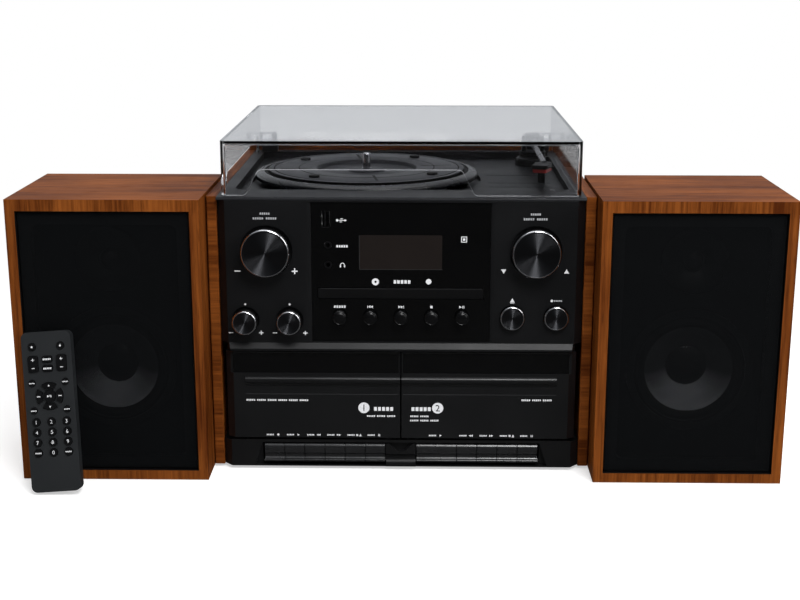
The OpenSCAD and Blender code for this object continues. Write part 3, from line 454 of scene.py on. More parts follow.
class Wiring:
    """Adds nodes to one tree, a line of code each."""

    def __init__(self, tree: bpy.types.NodeTree) -> None:
        """Takes the tree that the nodes go into."""
        self.tree = tree

    def feed(self, socket: Socket, value: Input) -> None:
        """Links a socket to another, or sets its value.

        Args:
            socket: The input.
            value: Another node's output, a number, or a colour or vector.
        """
        if isinstance(value, Socket):
            self.tree.links.new(value, socket)
        elif socket.type == "RGBA" and len(value) == 3:
            socket.default_value = (*value, 1.0)
        else:
            socket.default_value = value

    def put(self, kind: str, inputs: dict[str | int, Input] | None = None,
            **settings: object) -> bpy.types.Node:
        """Adds a node, sets its properties and feeds its inputs.

        Args:
            kind: The node's type.
            inputs: Values or sockets by input name or number.
            settings: The node's own properties.

        Returns:
            The node.
        """
        node = self.tree.nodes.new(kind)
        for name, value in settings.items():
            setattr(node, name, value)
        for name, value in (inputs or {}).items():
            self.feed(node.inputs[name], value)
        return node

    def math(self, operation: str, first: Input, second: Input = 0.0) -> Socket:
        """Returns the result of a Math node."""
        return self.put("ShaderNodeMath", {0: first, 1: second}, operation=operation).outputs[0]

    def mix(self, factor: Input, first: Input, second: Input) -> Socket:
        """Returns first where the factor is 0 and second where it is 1, as colours."""
        node = self.put("ShaderNodeMix", {0: factor, 6: first, 7: second}, data_type="RGBA")
        return node.outputs[2]

    def set(self, node: bpy.types.Node, values: dict[str, Input]) -> None:
        """Feeds several inputs of a node by name."""
        for name, value in values.items():
            self.feed(node.inputs[name], value)

    def group(self, tree: bpy.types.NodeTree, values: dict[str, Input]) -> Sockets:
        """Returns the outputs of a shared group, fed with this material's own values."""
        node = self.put("ShaderNodeGroup", node_tree=tree)
        self.set(node, values)
        return node.outputs

    def swapped(self, vector: Input, order: str) -> Socket:
        """Returns the vector's parts in another order, such as "yzx"."""
        parts = self.parts(vector)
        inputs = {i: parts["xyz".index(letter)] for i, letter in enumerate(order)}
        return self.put("ShaderNodeCombineXYZ", inputs).outputs[0]

    def inside(self, at: Input, centre: Point, half: Point) -> Socket:
        """Tells whether a place lies in a box.

        Args:
            at: The place.
            centre: The box's middle.
            half: Its half sizes.

        Returns:
            1 within the box, and 0 outside it.
        """
        kind = "ShaderNodeVectorMath"
        apart = self.put(kind, {0: at, 1: centre}, operation="SUBTRACT").outputs[0]
        parts = self.parts(self.put(kind, {0: apart}, operation="ABSOLUTE").outputs[0])
        in_x, in_y, in_z = (self.math("LESS_THAN", part, size) for part, size in zip(parts, half))
        return self.math("MULTIPLY", self.math("MULTIPLY", in_x, in_y), in_z)

    def noise(self, vector: Input, scale: float, detail: float = 2.0) -> Socket:
        """Returns soft noise of that many features a metre."""
        inputs = {"Vector": vector, "Scale": scale, "Detail": detail, "Roughness": 0.55}
        return self.put("ShaderNodeTexNoise", inputs).outputs["Fac"]

    def remap(self, value: Input, low: float, high: float, new_low: float = 0.0,
              new_high: float = 1.0) -> Socket:
        """Returns the value with low to high stretched to new_low to new_high, and held there."""
        inputs = {"Value": value, "From Min": low, "From Max": high, "To Min": new_low,
                  "To Max": new_high}
        return self.put("ShaderNodeMapRange", inputs).outputs[0]

    def stretched(self, vector: Input, scale: Point,
                  offset: Point = (0.0, 0.0, 0.0)) -> Socket:
        """Returns the vector times a scale in each direction, plus an offset."""
        inputs = {"Vector": vector, "Scale": scale, "Location": offset}
        return self.put("ShaderNodeMapping", inputs).outputs[0]

    def place(self) -> Socket:
        """Returns the Object coordinates: metres of the row frame at rest."""
        return self.put("ShaderNodeTexCoord").outputs["Object"]

    def about(self, centre: Point) -> Socket:
        """Returns the Object coordinates, measured from a centre."""
        return self.stretched(self.place(), (1, 1, 1), tuple(-c for c in centre))

    def facing(self) -> Socket:
        """Returns the surface's normal in the piece's own axes."""
        return self.put("ShaderNodeTexCoord").outputs["Normal"]

    def parts(self, vector: Input) -> Sockets:
        """Returns the vector's X, Y and Z."""
        return self.put("ShaderNodeSeparateXYZ", {0: vector}).outputs

    def bump(self, height: Input, distance: float) -> Socket:
        """Returns a normal raised by the height times that many metres."""
        inputs = {"Height": height, "Distance": distance, "Strength": 1.0}
        return self.put("ShaderNodeBump", inputs).outputs[0]


def cleared(block: bpy.types.ID) -> Wiring:
    """Returns the wiring of a material's or world's own tree, emptied."""
    block.use_nodes = True
    block.node_tree.nodes.clear()
    return Wiring(block.node_tree)


SOCKET_TYPES = {"vector": "NodeSocketVector", "colour": "NodeSocketColor",
                "value": "NodeSocketFloat"}
Wire = Callable[[Wiring, Sockets], Sequence[Socket]]


def effect(name: str, inputs: dict[str, str],
           outputs: dict[str, str]) -> Callable[[Wire], Callable[[], bpy.types.NodeTree]]:
    """Turns a function that makes nodes into one that returns a shared group, built once.

    Args:
        name: The group's name.
        inputs: Kind of each input by name.
        outputs: Kind of each output by name.

    Returns:
        A decorator for a function that makes the nodes inside and returns a socket for each output.
    """

    def decorate(wire: Wire) -> Callable[[], bpy.types.NodeTree]:
        """Wraps one function.

        Args:
            wire: Makes the nodes inside.

        Returns:
            A function that returns the group.
        """

        @functools.wraps(wire)
        def group() -> bpy.types.NodeTree:
            """Returns the group, new or found."""
            found = bpy.data.node_groups.get(name)
            if found:
                return found
            tree = bpy.data.node_groups.new(name, "ShaderNodeTree")
            for kinds, way in ((inputs, "INPUT"), (outputs, "OUTPUT")):
                for label, kind in kinds.items():
                    tree.interface.new_socket(label, in_out=way, socket_type=SOCKET_TYPES[kind])
            wiring = Wiring(tree)
            source, sink = wiring.put("NodeGroupInput"), wiring.put("NodeGroupOutput")
            for socket, made in zip(sink.inputs, wire(wiring, source.outputs)):
                wiring.feed(socket, made)
            return tree

        return group

    return decorate


@effect("Wood grain", {"Vector": "vector", "Light": "colour", "Dark": "colour", "Pore": "colour"},
        {"Colour": "colour", "Height": "value", "Roughness": "value"})
def wood_grain(w: Wiring, given: Sockets) -> Sequence[Socket]:
    """Veneer whose grain runs along the third part of its vector.

    The tone is a sum of three noises, drawn out along the grain: streaks, bands and blotches. Pores
    are the peaks of a fourth, finer one.

    Args:
        w: The wiring of the group.
        given: The group's inputs.

    Returns:
        Colour, height and roughness.
    """
    at = given["Vector"]
    streaks = w.noise(w.stretched(at, (1, 1, 0.035)), 420.0, 4.0)
    bands = w.noise(w.stretched(at, (1, 1, 0.12)), 62.0, 3.0)
    blotches = w.noise(w.stretched(at, (1, 1, 0.4)), 17.0, 1.0)
    pores = w.remap(w.noise(w.stretched(at, (1, 1, 0.03)), 1500.0, 1.0), 0.60, 0.72)
    sums = w.math("ADD", w.math("MULTIPLY", streaks, 0.42), w.math("MULTIPLY", bands, 0.36))
    tone = w.remap(w.math("ADD", sums, w.math("MULTIPLY", blotches, 0.22)), 0.39, 0.61)
    plain = w.mix(tone, given["Dark"], given["Light"])
    colour = w.mix(w.math("MULTIPLY", pores, 0.55), plain, given["Pore"])
    height = w.math("SUBTRACT", w.math("MULTIPLY", tone, 0.3), pores)
    return colour, height, w.remap(pores, 0.0, 1.0, 0.40, 0.62)


@effect("Moulded skin", {"Vector": "vector", "Colour": "colour", "Sheen colour": "colour",
                         "Roughness": "value", "Dust": "value"},
        {"Colour": "colour", "Height": "value", "Roughness": "value"})
def moulded_skin(w: Wiring, given: Sockets) -> Sequence[Socket]:
    """Spark-eroded plastic: a pebbled height, a roughness that wanders, and a little dust on top.

    Args:
        w: The wiring of the group.
        given: The group's inputs.

    Returns:
        Colour, height and roughness.
    """
    at = given["Vector"]
    pebbles = w.noise(at, 2600.0, 2.0)
    wander = w.noise(at, 23.0, 3.0)
    specks = w.remap(w.noise(at, 1900.0, 0.0), 0.78, 0.84)
    up = w.remap(w.parts(w.facing())["Z"], 0.6, 1.0)
    dust = w.math("MULTIPLY", w.math("MULTIPLY", specks, up), given["Dust"])
    tinted = w.mix(w.remap(wander, 0.3, 0.7, 0.0, 0.25), given["Colour"], given["Sheen colour"])
    colour = w.mix(dust, tinted, (0.20, 0.20, 0.21))
    rough = w.math("ADD", given["Roughness"], w.remap(wander, 0.3, 0.7, -0.05, 0.05))
    return colour, pebbles, rough


@effect("Turned rings", {"Vector": "vector", "Spacing": "value"},
        {"Height": "value", "Tone": "value"})
def turned_rings(w: Wiring, given: Sockets) -> Sequence[Socket]:
    """Tool marks of a lathe: rings by the distance from the axis, uneven from ring to ring.

    Args:
        w: The wiring of the group.
        given: The group's inputs.

    Returns:
        Height, and a tone that differs a little from ring to ring.
    """
    reach = w.put("ShaderNodeVectorMath", {0: given["Vector"]}, operation="LENGTH").outputs["Value"]
    turns = w.math("DIVIDE", reach, given["Spacing"])
    wave = w.math("SINE", w.math("MULTIPLY", turns, 2 * math.pi))
    uneven = w.noise(w.put("ShaderNodeCombineXYZ", {0: turns}).outputs[0], 0.7, 3.0)
    return w.math("ADD", w.math("MULTIPLY", wave, 0.5), uneven), uneven


@effect("Plain weave", {"Vector": "vector", "Pitch": "value"},
        {"Height": "value", "Cover": "value", "Tone": "value"})
def plain_weave(w: Wiring, given: Sockets) -> Sequence[Socket]:
    """Two sets of threads, over and under in turn, with open holes where four of them meet.

    Args:
        w: The wiring of the group.
        given: The group's inputs.

    Returns:
        Height, thread cover, and a tone that differs between the two sets.
    """
    parts = w.parts(given["Vector"])
    threads = (w.math("DIVIDE", parts[k], given["Pitch"]) for k in (0, 1))
    waves = [w.math("SINE", w.math("MULTIPLY", thread, math.pi)) for thread in threads]
    warp, weft = (w.math("ABSOLUTE", wave) for wave in waves)
    over = w.remap(w.math("MULTIPLY", waves[0], waves[1]), -0.2, 0.2)
    under = w.math("MULTIPLY", weft, w.math("SUBTRACT", 1.0, over))
    height = w.math("ADD", w.math("MULTIPLY", warp, over), under)
    return height, w.remap(w.math("MAXIMUM", warp, weft), 0.80, 0.86), over


@effect("Handling marks", {"Vector": "vector", "Roughness": "value", "Amount": "value"},
        {"Roughness": "value"})
def handling(w: Wiring, given: Sockets) -> Sequence[Socket]:
    """Faint smears and hairlines that a polished face picks up in use.

    Args:
        w: The wiring of the group.
        given: The group's inputs.

    Returns:
        A roughness.
    """
    smears = w.remap(w.noise(given["Vector"], 34.0, 4.0), 0.45, 0.75)
    fine = w.noise(w.stretched(given["Vector"], (1.0, 1.0, 0.05)), 900.0, 1.0)
    marks = w.math("MAXIMUM", smears, w.math("MULTIPLY", w.remap(fine, 0.7, 0.76), 0.6))
    return (w.math("ADD", given["Roughness"], w.math("MULTIPLY", marks, given["Amount"])),)


# ------------------------------------------------------------------ finishes


def scaled(colour: Colour, gain: float, lift: float = 0.0) -> Colour:
    """Returns the colour times a gain plus a lift, held at 1."""
    return tuple(min(1.0, c * gain + lift) for c in colour)


@dataclass(frozen=True)
class Finish:
    """A named surface, made into a material the first time that it is used."""

    name: str
    slot: Slot

    def material(self) -> bpy.types.Material:
        """Wires the finish to a Principled shader.

        Returns:
            The material, new or found.
        """
        found = bpy.data.materials.get(self.name)
        if found:
            return found
        made = bpy.data.materials.new(self.name)
        wiring = cleared(made)
        shader = wiring.put("ShaderNodeBsdfPrincipled")
        sink = wiring.put("ShaderNodeOutputMaterial")
        wiring.feed(sink.inputs["Surface"], shader.outputs[0])
        wiring.set(shader, self.paint(wiring))
        return made

    def paint(self, w: Wiring) -> dict[str, Input]:
        """Makes the nodes of one kind of finish.

        Args:
            w: The wiring of the material.

        Returns:
            What each of the shader's inputs is fed with.
        """
        raise NotImplementedError


@dataclass(frozen=True)
class Moulded(Finish):
    """Textured or satin plastic."""

    colour: Colour
    roughness: float = 0.42
    relief: float = 0.00002
    specular: float = 0.30
    dust: float = 0.0

    def paint(self, w: Wiring) -> dict[str, Input]:
        """Takes colour, roughness and relief from the moulded skin.

        Args:
            w: The wiring of the material.

        Returns:
            The shader's inputs.
        """
        skin = w.group(moulded_skin(), {
            "Vector": w.place(), "Colour": self.colour,
            "Sheen colour": scaled(self.colour, 1.6, 0.001),
            "Roughness": self.roughness, "Dust": self.dust})
        return {"Base Color": skin["Colour"], "Roughness": skin["Roughness"],
                "Normal": w.bump(skin["Height"], self.relief), "Specular IOR Level": self.specular}


@dataclass(frozen=True)
class Polished(Finish):
    """Glossy lacquer, polished plastic or polished metal, with marks of handling."""

    colour: Colour
    roughness: float
    specular: float
    marks: float
    metallic: float = 0.0

    def paint(self, w: Wiring) -> dict[str, Input]:
        """Lets the colour wander slightly, and takes the roughness from the handling marks.

        Args:
            w: The wiring of the material.

        Returns:
            The shader's inputs.
        """
        at = w.place()
        marks = w.group(handling(), {"Vector": at, "Roughness": self.roughness,
                                     "Amount": self.marks})
        lighter = scaled(self.colour, 1.15, 0.0005)
        return {"Base Color": w.mix(w.noise(at, 60.0), self.colour, lighter),
                "Roughness": marks["Roughness"], "Metallic": self.metallic,
                "Specular IOR Level": self.specular}


@dataclass(frozen=True)
class Spun(Finish):
    """Metal or metallic lacquer turned on a lathe, on pieces with a turning UV map.

    The centre is in metres of the row frame, and the rings run round it.
    """

    centre: Point
    colour: Colour = (0.080, 0.082, 0.089)
    roughness: float = 0.42
    spacing: float = 0.0004
    relief: float = 0.000004

    def paint(self, w: Wiring) -> dict[str, Input]:
        """Draws rings in height and tone, with the highlight drawn out across them.

        Args:
            w: The wiring of the material.

        Returns:
            The shader's inputs.
        """
        rings = w.group(turned_rings(), {"Vector": w.about(self.centre), "Spacing": self.spacing})
        tone = w.mix(rings["Tone"], scaled(self.colour, 0.8), scaled(self.colour, 1.2))
        tangent = w.put("ShaderNodeTangent", direction_type="UV_MAP", uv_map=TURN_UV)
        return {"Base Color": tone, "Metallic": 1.0, "Roughness": self.roughness,
                "Anisotropic": 0.98, "Anisotropic Rotation": 0.25,
                "Normal": w.bump(rings["Height"], self.relief), "Tangent": tangent.outputs[0]}


class Grain(Enum):
    """How the veneer is laid on a box."""

    PANELS = "panels"
    SPEAKER = "speaker"


@dataclass(frozen=True)
class Veneer(Finish):
    """Wood veneer under a satin lacquer, with black inner faces on a loudspeaker.

    The middle of a loudspeaker's box and the half sizes of its black hollows are in metres.
    """

    lay: Grain
    middle: Point = (0.0, 0.0, 0.0)
    light: Colour = (0.240, 0.069, 0.0125)
    dark: Colour = (0.064, 0.0140, 0.0026)
    pore: Colour = (0.030, 0.007, 0.002)
    painted: Colour = (0.006, 0.006, 0.0065)
    rail_half: float = 0.1505
    inner_half: Point = (0.0703, 0.0646, 0.1104)
    cup_half: Point = (0.0225, 0.0075, 0.0165)
    cup_behind: float = 0.0620
    cup_height: float = 0.06

    def paint(self, w: Wiring) -> dict[str, Input]:
        """Runs the grain along the laid direction, chosen by which way each face looks.

        Args:
            w: The wiring of the material.

        Returns:
            The shader's inputs.
        """
        at = w.place()
        facing = [w.math("ABSOLUTE", part) for part in w.parts(w.facing())]
        if self.lay is Grain.SPEAKER:
            vector = w.mix(w.math("GREATER_THAN", facing[2], FACING), at, w.swapped(at, "yzx"))
        else:
            rail = w.math("LESS_THAN", w.math("ABSOLUTE", w.parts(at)[0]), self.rail_half)
            across = w.math("MAXIMUM", w.math("GREATER_THAN", facing[1], FACING), rail)
            vector = w.mix(across, w.swapped(at, "xzy"), w.swapped(at, "yzx"))
        grain = w.group(wood_grain(), {"Vector": vector, "Light": self.light, "Dark": self.dark,
                                       "Pore": self.pore})
        colour = grain["Colour"]
        if self.lay is Grain.SPEAKER:
            inner = w.inside(at, self.middle, self.inner_half)
            behind = (self.middle[0], self.middle[1] + self.cup_behind, self.cup_height)
            hollow = w.math("MAXIMUM", inner, w.inside(at, behind, self.cup_half))
            colour = w.mix(hollow, colour, self.painted)
        return {"Base Color": colour, "Roughness": grain["Roughness"],
                "Normal": w.bump(grain["Height"], 0.00004), "Specular IOR Level": 0.02}


@dataclass(frozen=True)
class Clear(Finish):
    """Clear acrylic with faint marks of handling."""

    colour: Colour = (0.92, 0.92, 0.93)

    def paint(self, w: Wiring) -> dict[str, Input]:
        """Lets everything through, with a roughness from the handling marks.

        Args:
            w: The wiring of the material.

        Returns:
            The shader's inputs.
        """
        marks = w.group(handling(), {"Vector": w.place(), "Roughness": 0.012, "Amount": 0.03})
        return {"Base Color": self.colour, "Transmission Weight": 1.0, "IOR": 1.49,
                "Roughness": marks["Roughness"]}


@dataclass(frozen=True)
class Cloth(Finish):
    """Open plain weave, read from the piece's own UV map in metres."""

    colour: Colour = (0.0032, 0.0036, 0.0041)
    pitch: float = 0.0008

    def paint(self, w: Wiring) -> dict[str, Input]:
        """Tints the threads by set, with relief from the weave and holes between the threads.

        Args:
            w: The wiring of the material.

        Returns:
            The shader's inputs.
        """
        uv = w.put("ShaderNodeUVMap", uv_map=CLOTH_UV).outputs[0]
        weave = w.group(plain_weave(), {"Vector": uv, "Pitch": self.pitch})
        tone = w.math("MULTIPLY", weave["Tone"], w.noise(w.place(), 3000.0, 1.0))
        return {"Base Color": w.mix(tone, self.colour, scaled(self.colour, 2.0)), "Roughness": 0.85,
                "Specular IOR Level": 0.05, "Sheen Weight": 0.02, "Sheen Roughness": 0.5,
                "Alpha": weave["Cover"], "Normal": w.bump(weave["Height"], 0.00012)}


@dataclass(frozen=True)
class Pulp(Finish):
    """Pressed paper of a loudspeaker cone: fibres and faint rings about a centre in metres."""

    centre: Point
    colour: Colour = (0.58, 0.59, 0.64)

    def paint(self, w: Wiring) -> dict[str, Input]:
        """Lays fibres over rings of the mould, with painted shade where the cone looks down.

        Args:
            w: The wiring of the material.

        Returns:
            The shader's inputs.
        """
        rings = w.group(turned_rings(), {"Vector": w.about(self.centre), "Spacing": 0.0035})
        fibres = w.noise(w.place(), 900.0, 5.0)
        lit_paper_tone = w.mix(fibres, scaled(self.colour, 0.7), self.colour)
        # Painted light and shade: the paper is painted dark where the cone looks down, as if in
        # shade, and keeps its lit fibre tone where it looks up.
        up = w.remap(w.parts(w.facing())["Z"], 0.05, 0.5)
        height = w.math("ADD", fibres, w.math("MULTIPLY", rings["Height"], 0.6))
        return {"Base Color": w.mix(up, scaled(self.colour, 0.09), lit_paper_tone), "Roughness": 0.6,
                "Specular IOR Level": 0.3, "Normal": w.bump(height, 0.0001)}


@dataclass(frozen=True)
class Fittings(Finish):
    """The sockets: nickel shells, with a black inlet and two colours of phono socket behind.

    Places are in metres: what lies behind rear, beside phono_x and below phono_z is a phono socket.
    """

    rear: float
    phono_x: float = 0.05
    phono_z: float = 0.1
    upper_z: float = 0.049
    inlet_x: float = -0.09

    def paint(self, w: Wiring) -> dict[str, Input]:
        """Chooses colour and metal by place: front shells, phono rows, inlet.

        Args:
            w: The wiring of the material.

        Returns:
            The shader's inputs.
        """
        at = w.place()
        parts = w.parts(at)
        behind = w.math("GREATER_THAN", parts[1], self.rear)
        phono = w.math("MULTIPLY", w.math("GREATER_THAN", parts[0], self.phono_x),
                       w.math("LESS_THAN", parts[2], self.phono_z))
        upper = w.math("GREATER_THAN", parts[2], self.upper_z)
        inlet = w.math("LESS_THAN", parts[0], self.inlet_x)
        ring = w.mix(upper, (0.32, 0.012, 0.010), (0.55, 0.55, 0.53))
        plastic = w.mix(inlet, ring, (0.012, 0.012, 0.013))
        moulded = w.math("MULTIPLY", behind, w.math("MAXIMUM", phono, inlet))
        wear = w.noise(at, 800.0)
        nickel = w.mix(wear, (0.34, 0.34, 0.35), (0.48, 0.48, 0.49))
        shells = w.mix(behind, (0.07, 0.07, 0.075), nickel)
        return {"Base Color": w.mix(moulded, shells, plastic),
                "Metallic": w.math("SUBTRACT", 1.0, moulded),
                "Roughness": w.remap(wear, 0.3, 0.7, 0.24, 0.42)}


@dataclass(frozen=True)
class Board(Finish):
    """Printed board with solder mask and bare tracks."""

    def paint(self, w: Wiring) -> dict[str, Input]:
        """Crosses the green mask with copper-toned bands of a brick pattern.

        Args:
            w: The wiring of the material.

        Returns:
            The shader's inputs.
        """
        at = w.place()
        tracks = w.put("ShaderNodeTexBrick", {"Vector": at, "Scale": 90.0, "Mortar Size": 0.03})
        share = w.math("MULTIPLY", tracks.outputs["Fac"], 0.6)
        return {"Base Color": w.mix(share, (0.01, 0.10, 0.035), (0.05, 0.22, 0.09)),
                "Roughness": w.remap(w.noise(at, 200.0), 0.3, 0.7, 0.3, 0.5)}


@dataclass(frozen=True)
class Ink(Finish):
    """Printed mark: flat ink with a slightly broken edge to its tone."""

    colour: Colour

    def paint(self, w: Wiring) -> dict[str, Input]:
        """Lets the tone wander with the screen print's thickness.

        Args:
            w: The wiring of the material.

        Returns:
            The shader's inputs.
        """
        tone = w.noise(w.place(), 1400.0, 1.0)
        return {"Base Color": w.mix(tone, scaled(self.colour, 0.8), self.colour), "Roughness": 0.5,
                "Specular IOR Level": 0.3, "Normal": w.bump(tone, 0.000005)}


WOOD_PANELS = Veneer("Cabinet veneer", Slot.WOOD, Grain.PANELS)
FASCIA = Moulded("Front moulding", Slot.BLACK, (0.0045, 0.0047, 0.0054), 0.42, specular=0.30,
                 dust=0.25)
DECK = Moulded("Deck moulding", Slot.BLACK, (0.0095, 0.0100, 0.0118), 0.42, specular=0.10, dust=0.4)
LOWER = Moulded("Key panel moulding", Slot.BLACK, (0.0048, 0.0048, 0.0052), 0.40, specular=0.30)
DOORS = Moulded("Cassette door moulding", Slot.BLACK, (0.0046, 0.0048, 0.0054), 0.36, specular=0.50,
                dust=0.2)
KEYS = Moulded("Cassette keys", Slot.BLACK, (0.0095, 0.0097, 0.0106), 0.25, 0.00001, 0.80)
UNDER = Moulded("Base moulding", Slot.BLACK, (0.010, 0.010, 0.010), 0.55, 0.00004, 0.15)
BUTTONS = Moulded("Button caps", Slot.BLACK, (0.0022, 0.0022, 0.0025), 0.26, 0.000004, 0.40)
DRAWER = Moulded("Drawer front", Slot.BLACK, (0.0030, 0.0030, 0.0033), 0.34, 0.000008, 0.25)
SHELL = Moulded("Remote shell", Slot.BLACK, (0.0165, 0.0182, 0.0198), 0.42, 0.00003, 0.30)
KEYPAD = Moulded("Remote keys", Slot.GLOSS, (0.0045, 0.0046, 0.0050), 0.30, 0.000006, 0.3)
RUBBER = Moulded("Rubber pads", Slot.RUBBER, (0.006, 0.006, 0.006), 0.6, 0.00002, 0.15)
PLATTER = Moulded("Platter lacquer", Slot.PLATTER, (0.033, 0.034, 0.039), 0.42, 0.00001, 0.12)
PLATTER_RIM = Moulded("Platter rim", Slot.PLATTER, (0.0085, 0.0090, 0.0110), 0.26, 0.000004, 0.40)
# Painted shade: near-black colour for the platter's grooves and for the strips in place of its
# slots.
SHADOW_RING = Moulded("Painted platter groove shade", Slot.PLATTER, (0.004, 0.004, 0.004), 0.6, specular=0.1)
RED_BODY = Moulded("Stylus carrier", Slot.BLACK, (0.20, 0.012, 0.010), 0.4, 0.000004, 0.3)
GLASS = Polished("Gloss panel", Slot.GLOSS, (0.0015, 0.0015, 0.0016), 0.05, 0.30, 0.02)
WINDOW = Polished("Display window", Slot.GLOSS, (0.0110, 0.0086, 0.0078), 0.12, 0.25, 0.02)
POLISH = Polished("Polished rims", Slot.BRIGHT, (0.62, 0.62, 0.64), 0.16, 0.5, 0.06, 1.0)
CHROME = Polished("Polished steel", Slot.BRIGHT, (0.42, 0.42, 0.44), 0.14, 0.5, 0.06, 1.0)
STEEL = Polished("Dull steel", Slot.DARK_METAL, (0.30, 0.30, 0.31), 0.32, 0.5, 0.1, 1.0)
ARM_TUBE = Polished("Arm tube", Slot.BRIGHT, (0.045, 0.047, 0.052), 0.26, 0.5, 0.06, 1.0)
ARM_BLACK = Moulded("Arm moulding", Slot.BLACK, (0.0040, 0.0042, 0.0048), 0.42, 0.00001, 0.10)
DOME = Polished("Tweeter dome", Slot.CONE, (0.010, 0.010, 0.011), 0.28, 0.3, 0.05)
CLEAR = Clear("Clear acrylic", Slot.LID)
CLOTH = Cloth("Grille cloth", Slot.CLOTH)
BOARD = Board("Circuit boards", Slot.DARK_METAL)
MARKS = Ink("Grey print", Slot.BLACK, (0.42, 0.43, 0.45))
# Faint door lines and display border, and the painted highlight on the drawer's top edge.
FAINT_INK_AND_HIGHLIGHT = Ink("Faint print and painted highlight", Slot.BLACK, (0.030, 0.031, 0.033))
PALE = Ink("Pale print", Slot.BLACK, (0.80, 0.81, 0.83))
# Dark print on the door badges, and painted shade for screw cross recesses and terminal holes.
DARK_INK_AND_SHADE = Ink("Dark print and painted shade", Slot.BLACK, (0.004, 0.004, 0.005))
# Painted highlight: pale opaque strips for the light along the lid's polished edges.
EDGE_LIGHT = Moulded("Painted lid edge highlights", Slot.LID, (0.30, 0.305, 0.32), 0.25, 0.0, 0.5)


# ------------------------------------------------------------------ making and dressing pieces


def smooth_by_angle() -> bpy.types.NodeTree:
    """Geometry nodes that shade smoothly except at edges sharper than SMOOTH_UP_TO.

    Returns:
        The group, new or found.
    """
    name = "Smooth by angle"
    found = bpy.data.node_groups.get(name)
    if found:
        return found
    tree = bpy.data.node_groups.new(name, "GeometryNodeTree")
    for way in ("INPUT", "OUTPUT"):
        tree.interface.new_socket("Geometry", in_out=way, socket_type="NodeSocketGeometry")
    w = Wiring(tree)
    source, sink = w.put("NodeGroupInput"), w.put("NodeGroupOutput")
    bend = w.put("GeometryNodeInputMeshEdgeAngle").outputs["Unsigned Angle"]
    limit = {0: bend, 1: SMOOTH_UP_TO}
    soft = w.put("FunctionNodeCompare", limit, operation="LESS_EQUAL").outputs[0]
    shaded = source.outputs[0]
    for domain, smooth in (("FACE", True), ("EDGE", soft)):
        shaded = w.put("GeometryNodeSetShadeSmooth", {"Geometry": shaded, "Shade Smooth": smooth},
                       domain=domain).outputs[0]
    w.feed(sink.inputs[0], shaded)
    return tree


def ease_edges(thing: bpy.types.Object, width: float, segments: int = 2) -> None:
    """Rounds a piece's edges by a bevel, and smooths what lies between them.

    Args:
        thing: The piece.
        width: The bevel's width in millimetres, or 0 for none.
        segments: Its steps.
    """
    if width:
        bevel = thing.modifiers.new("Eased edges", "BEVEL")
        bevel.width, bevel.segments, bevel.limit_method = width * MM, segments, "ANGLE"
        bevel.angle_limit, bevel.use_clamp_overlap = BEVEL_FROM, True
        bevel.miter_outer = "MITER_ARC"
    smooth = thing.modifiers.new("Smooth", "NODES")
    smooth.node_group = smooth_by_angle()
    if width:
        weighted = thing.modifiers.new("Flat faces", "WEIGHTED_NORMAL")
        weighted.keep_sharp = True


def close_mesh(mesh: bpy.types.Mesh) -> None:
    """Merges a mesh's seams and poles, then turns its faces outwards.

    Args:
        mesh: The mesh, changed in place.
    """
    solid = bmesh.new()
    solid.from_mesh(mesh)
    bmesh.ops.remove_doubles(solid, verts=solid.verts, dist=SEAM)
    bmesh.ops.recalc_face_normals(solid, faces=solid.faces)
    solid.to_mesh(mesh)
    solid.free()


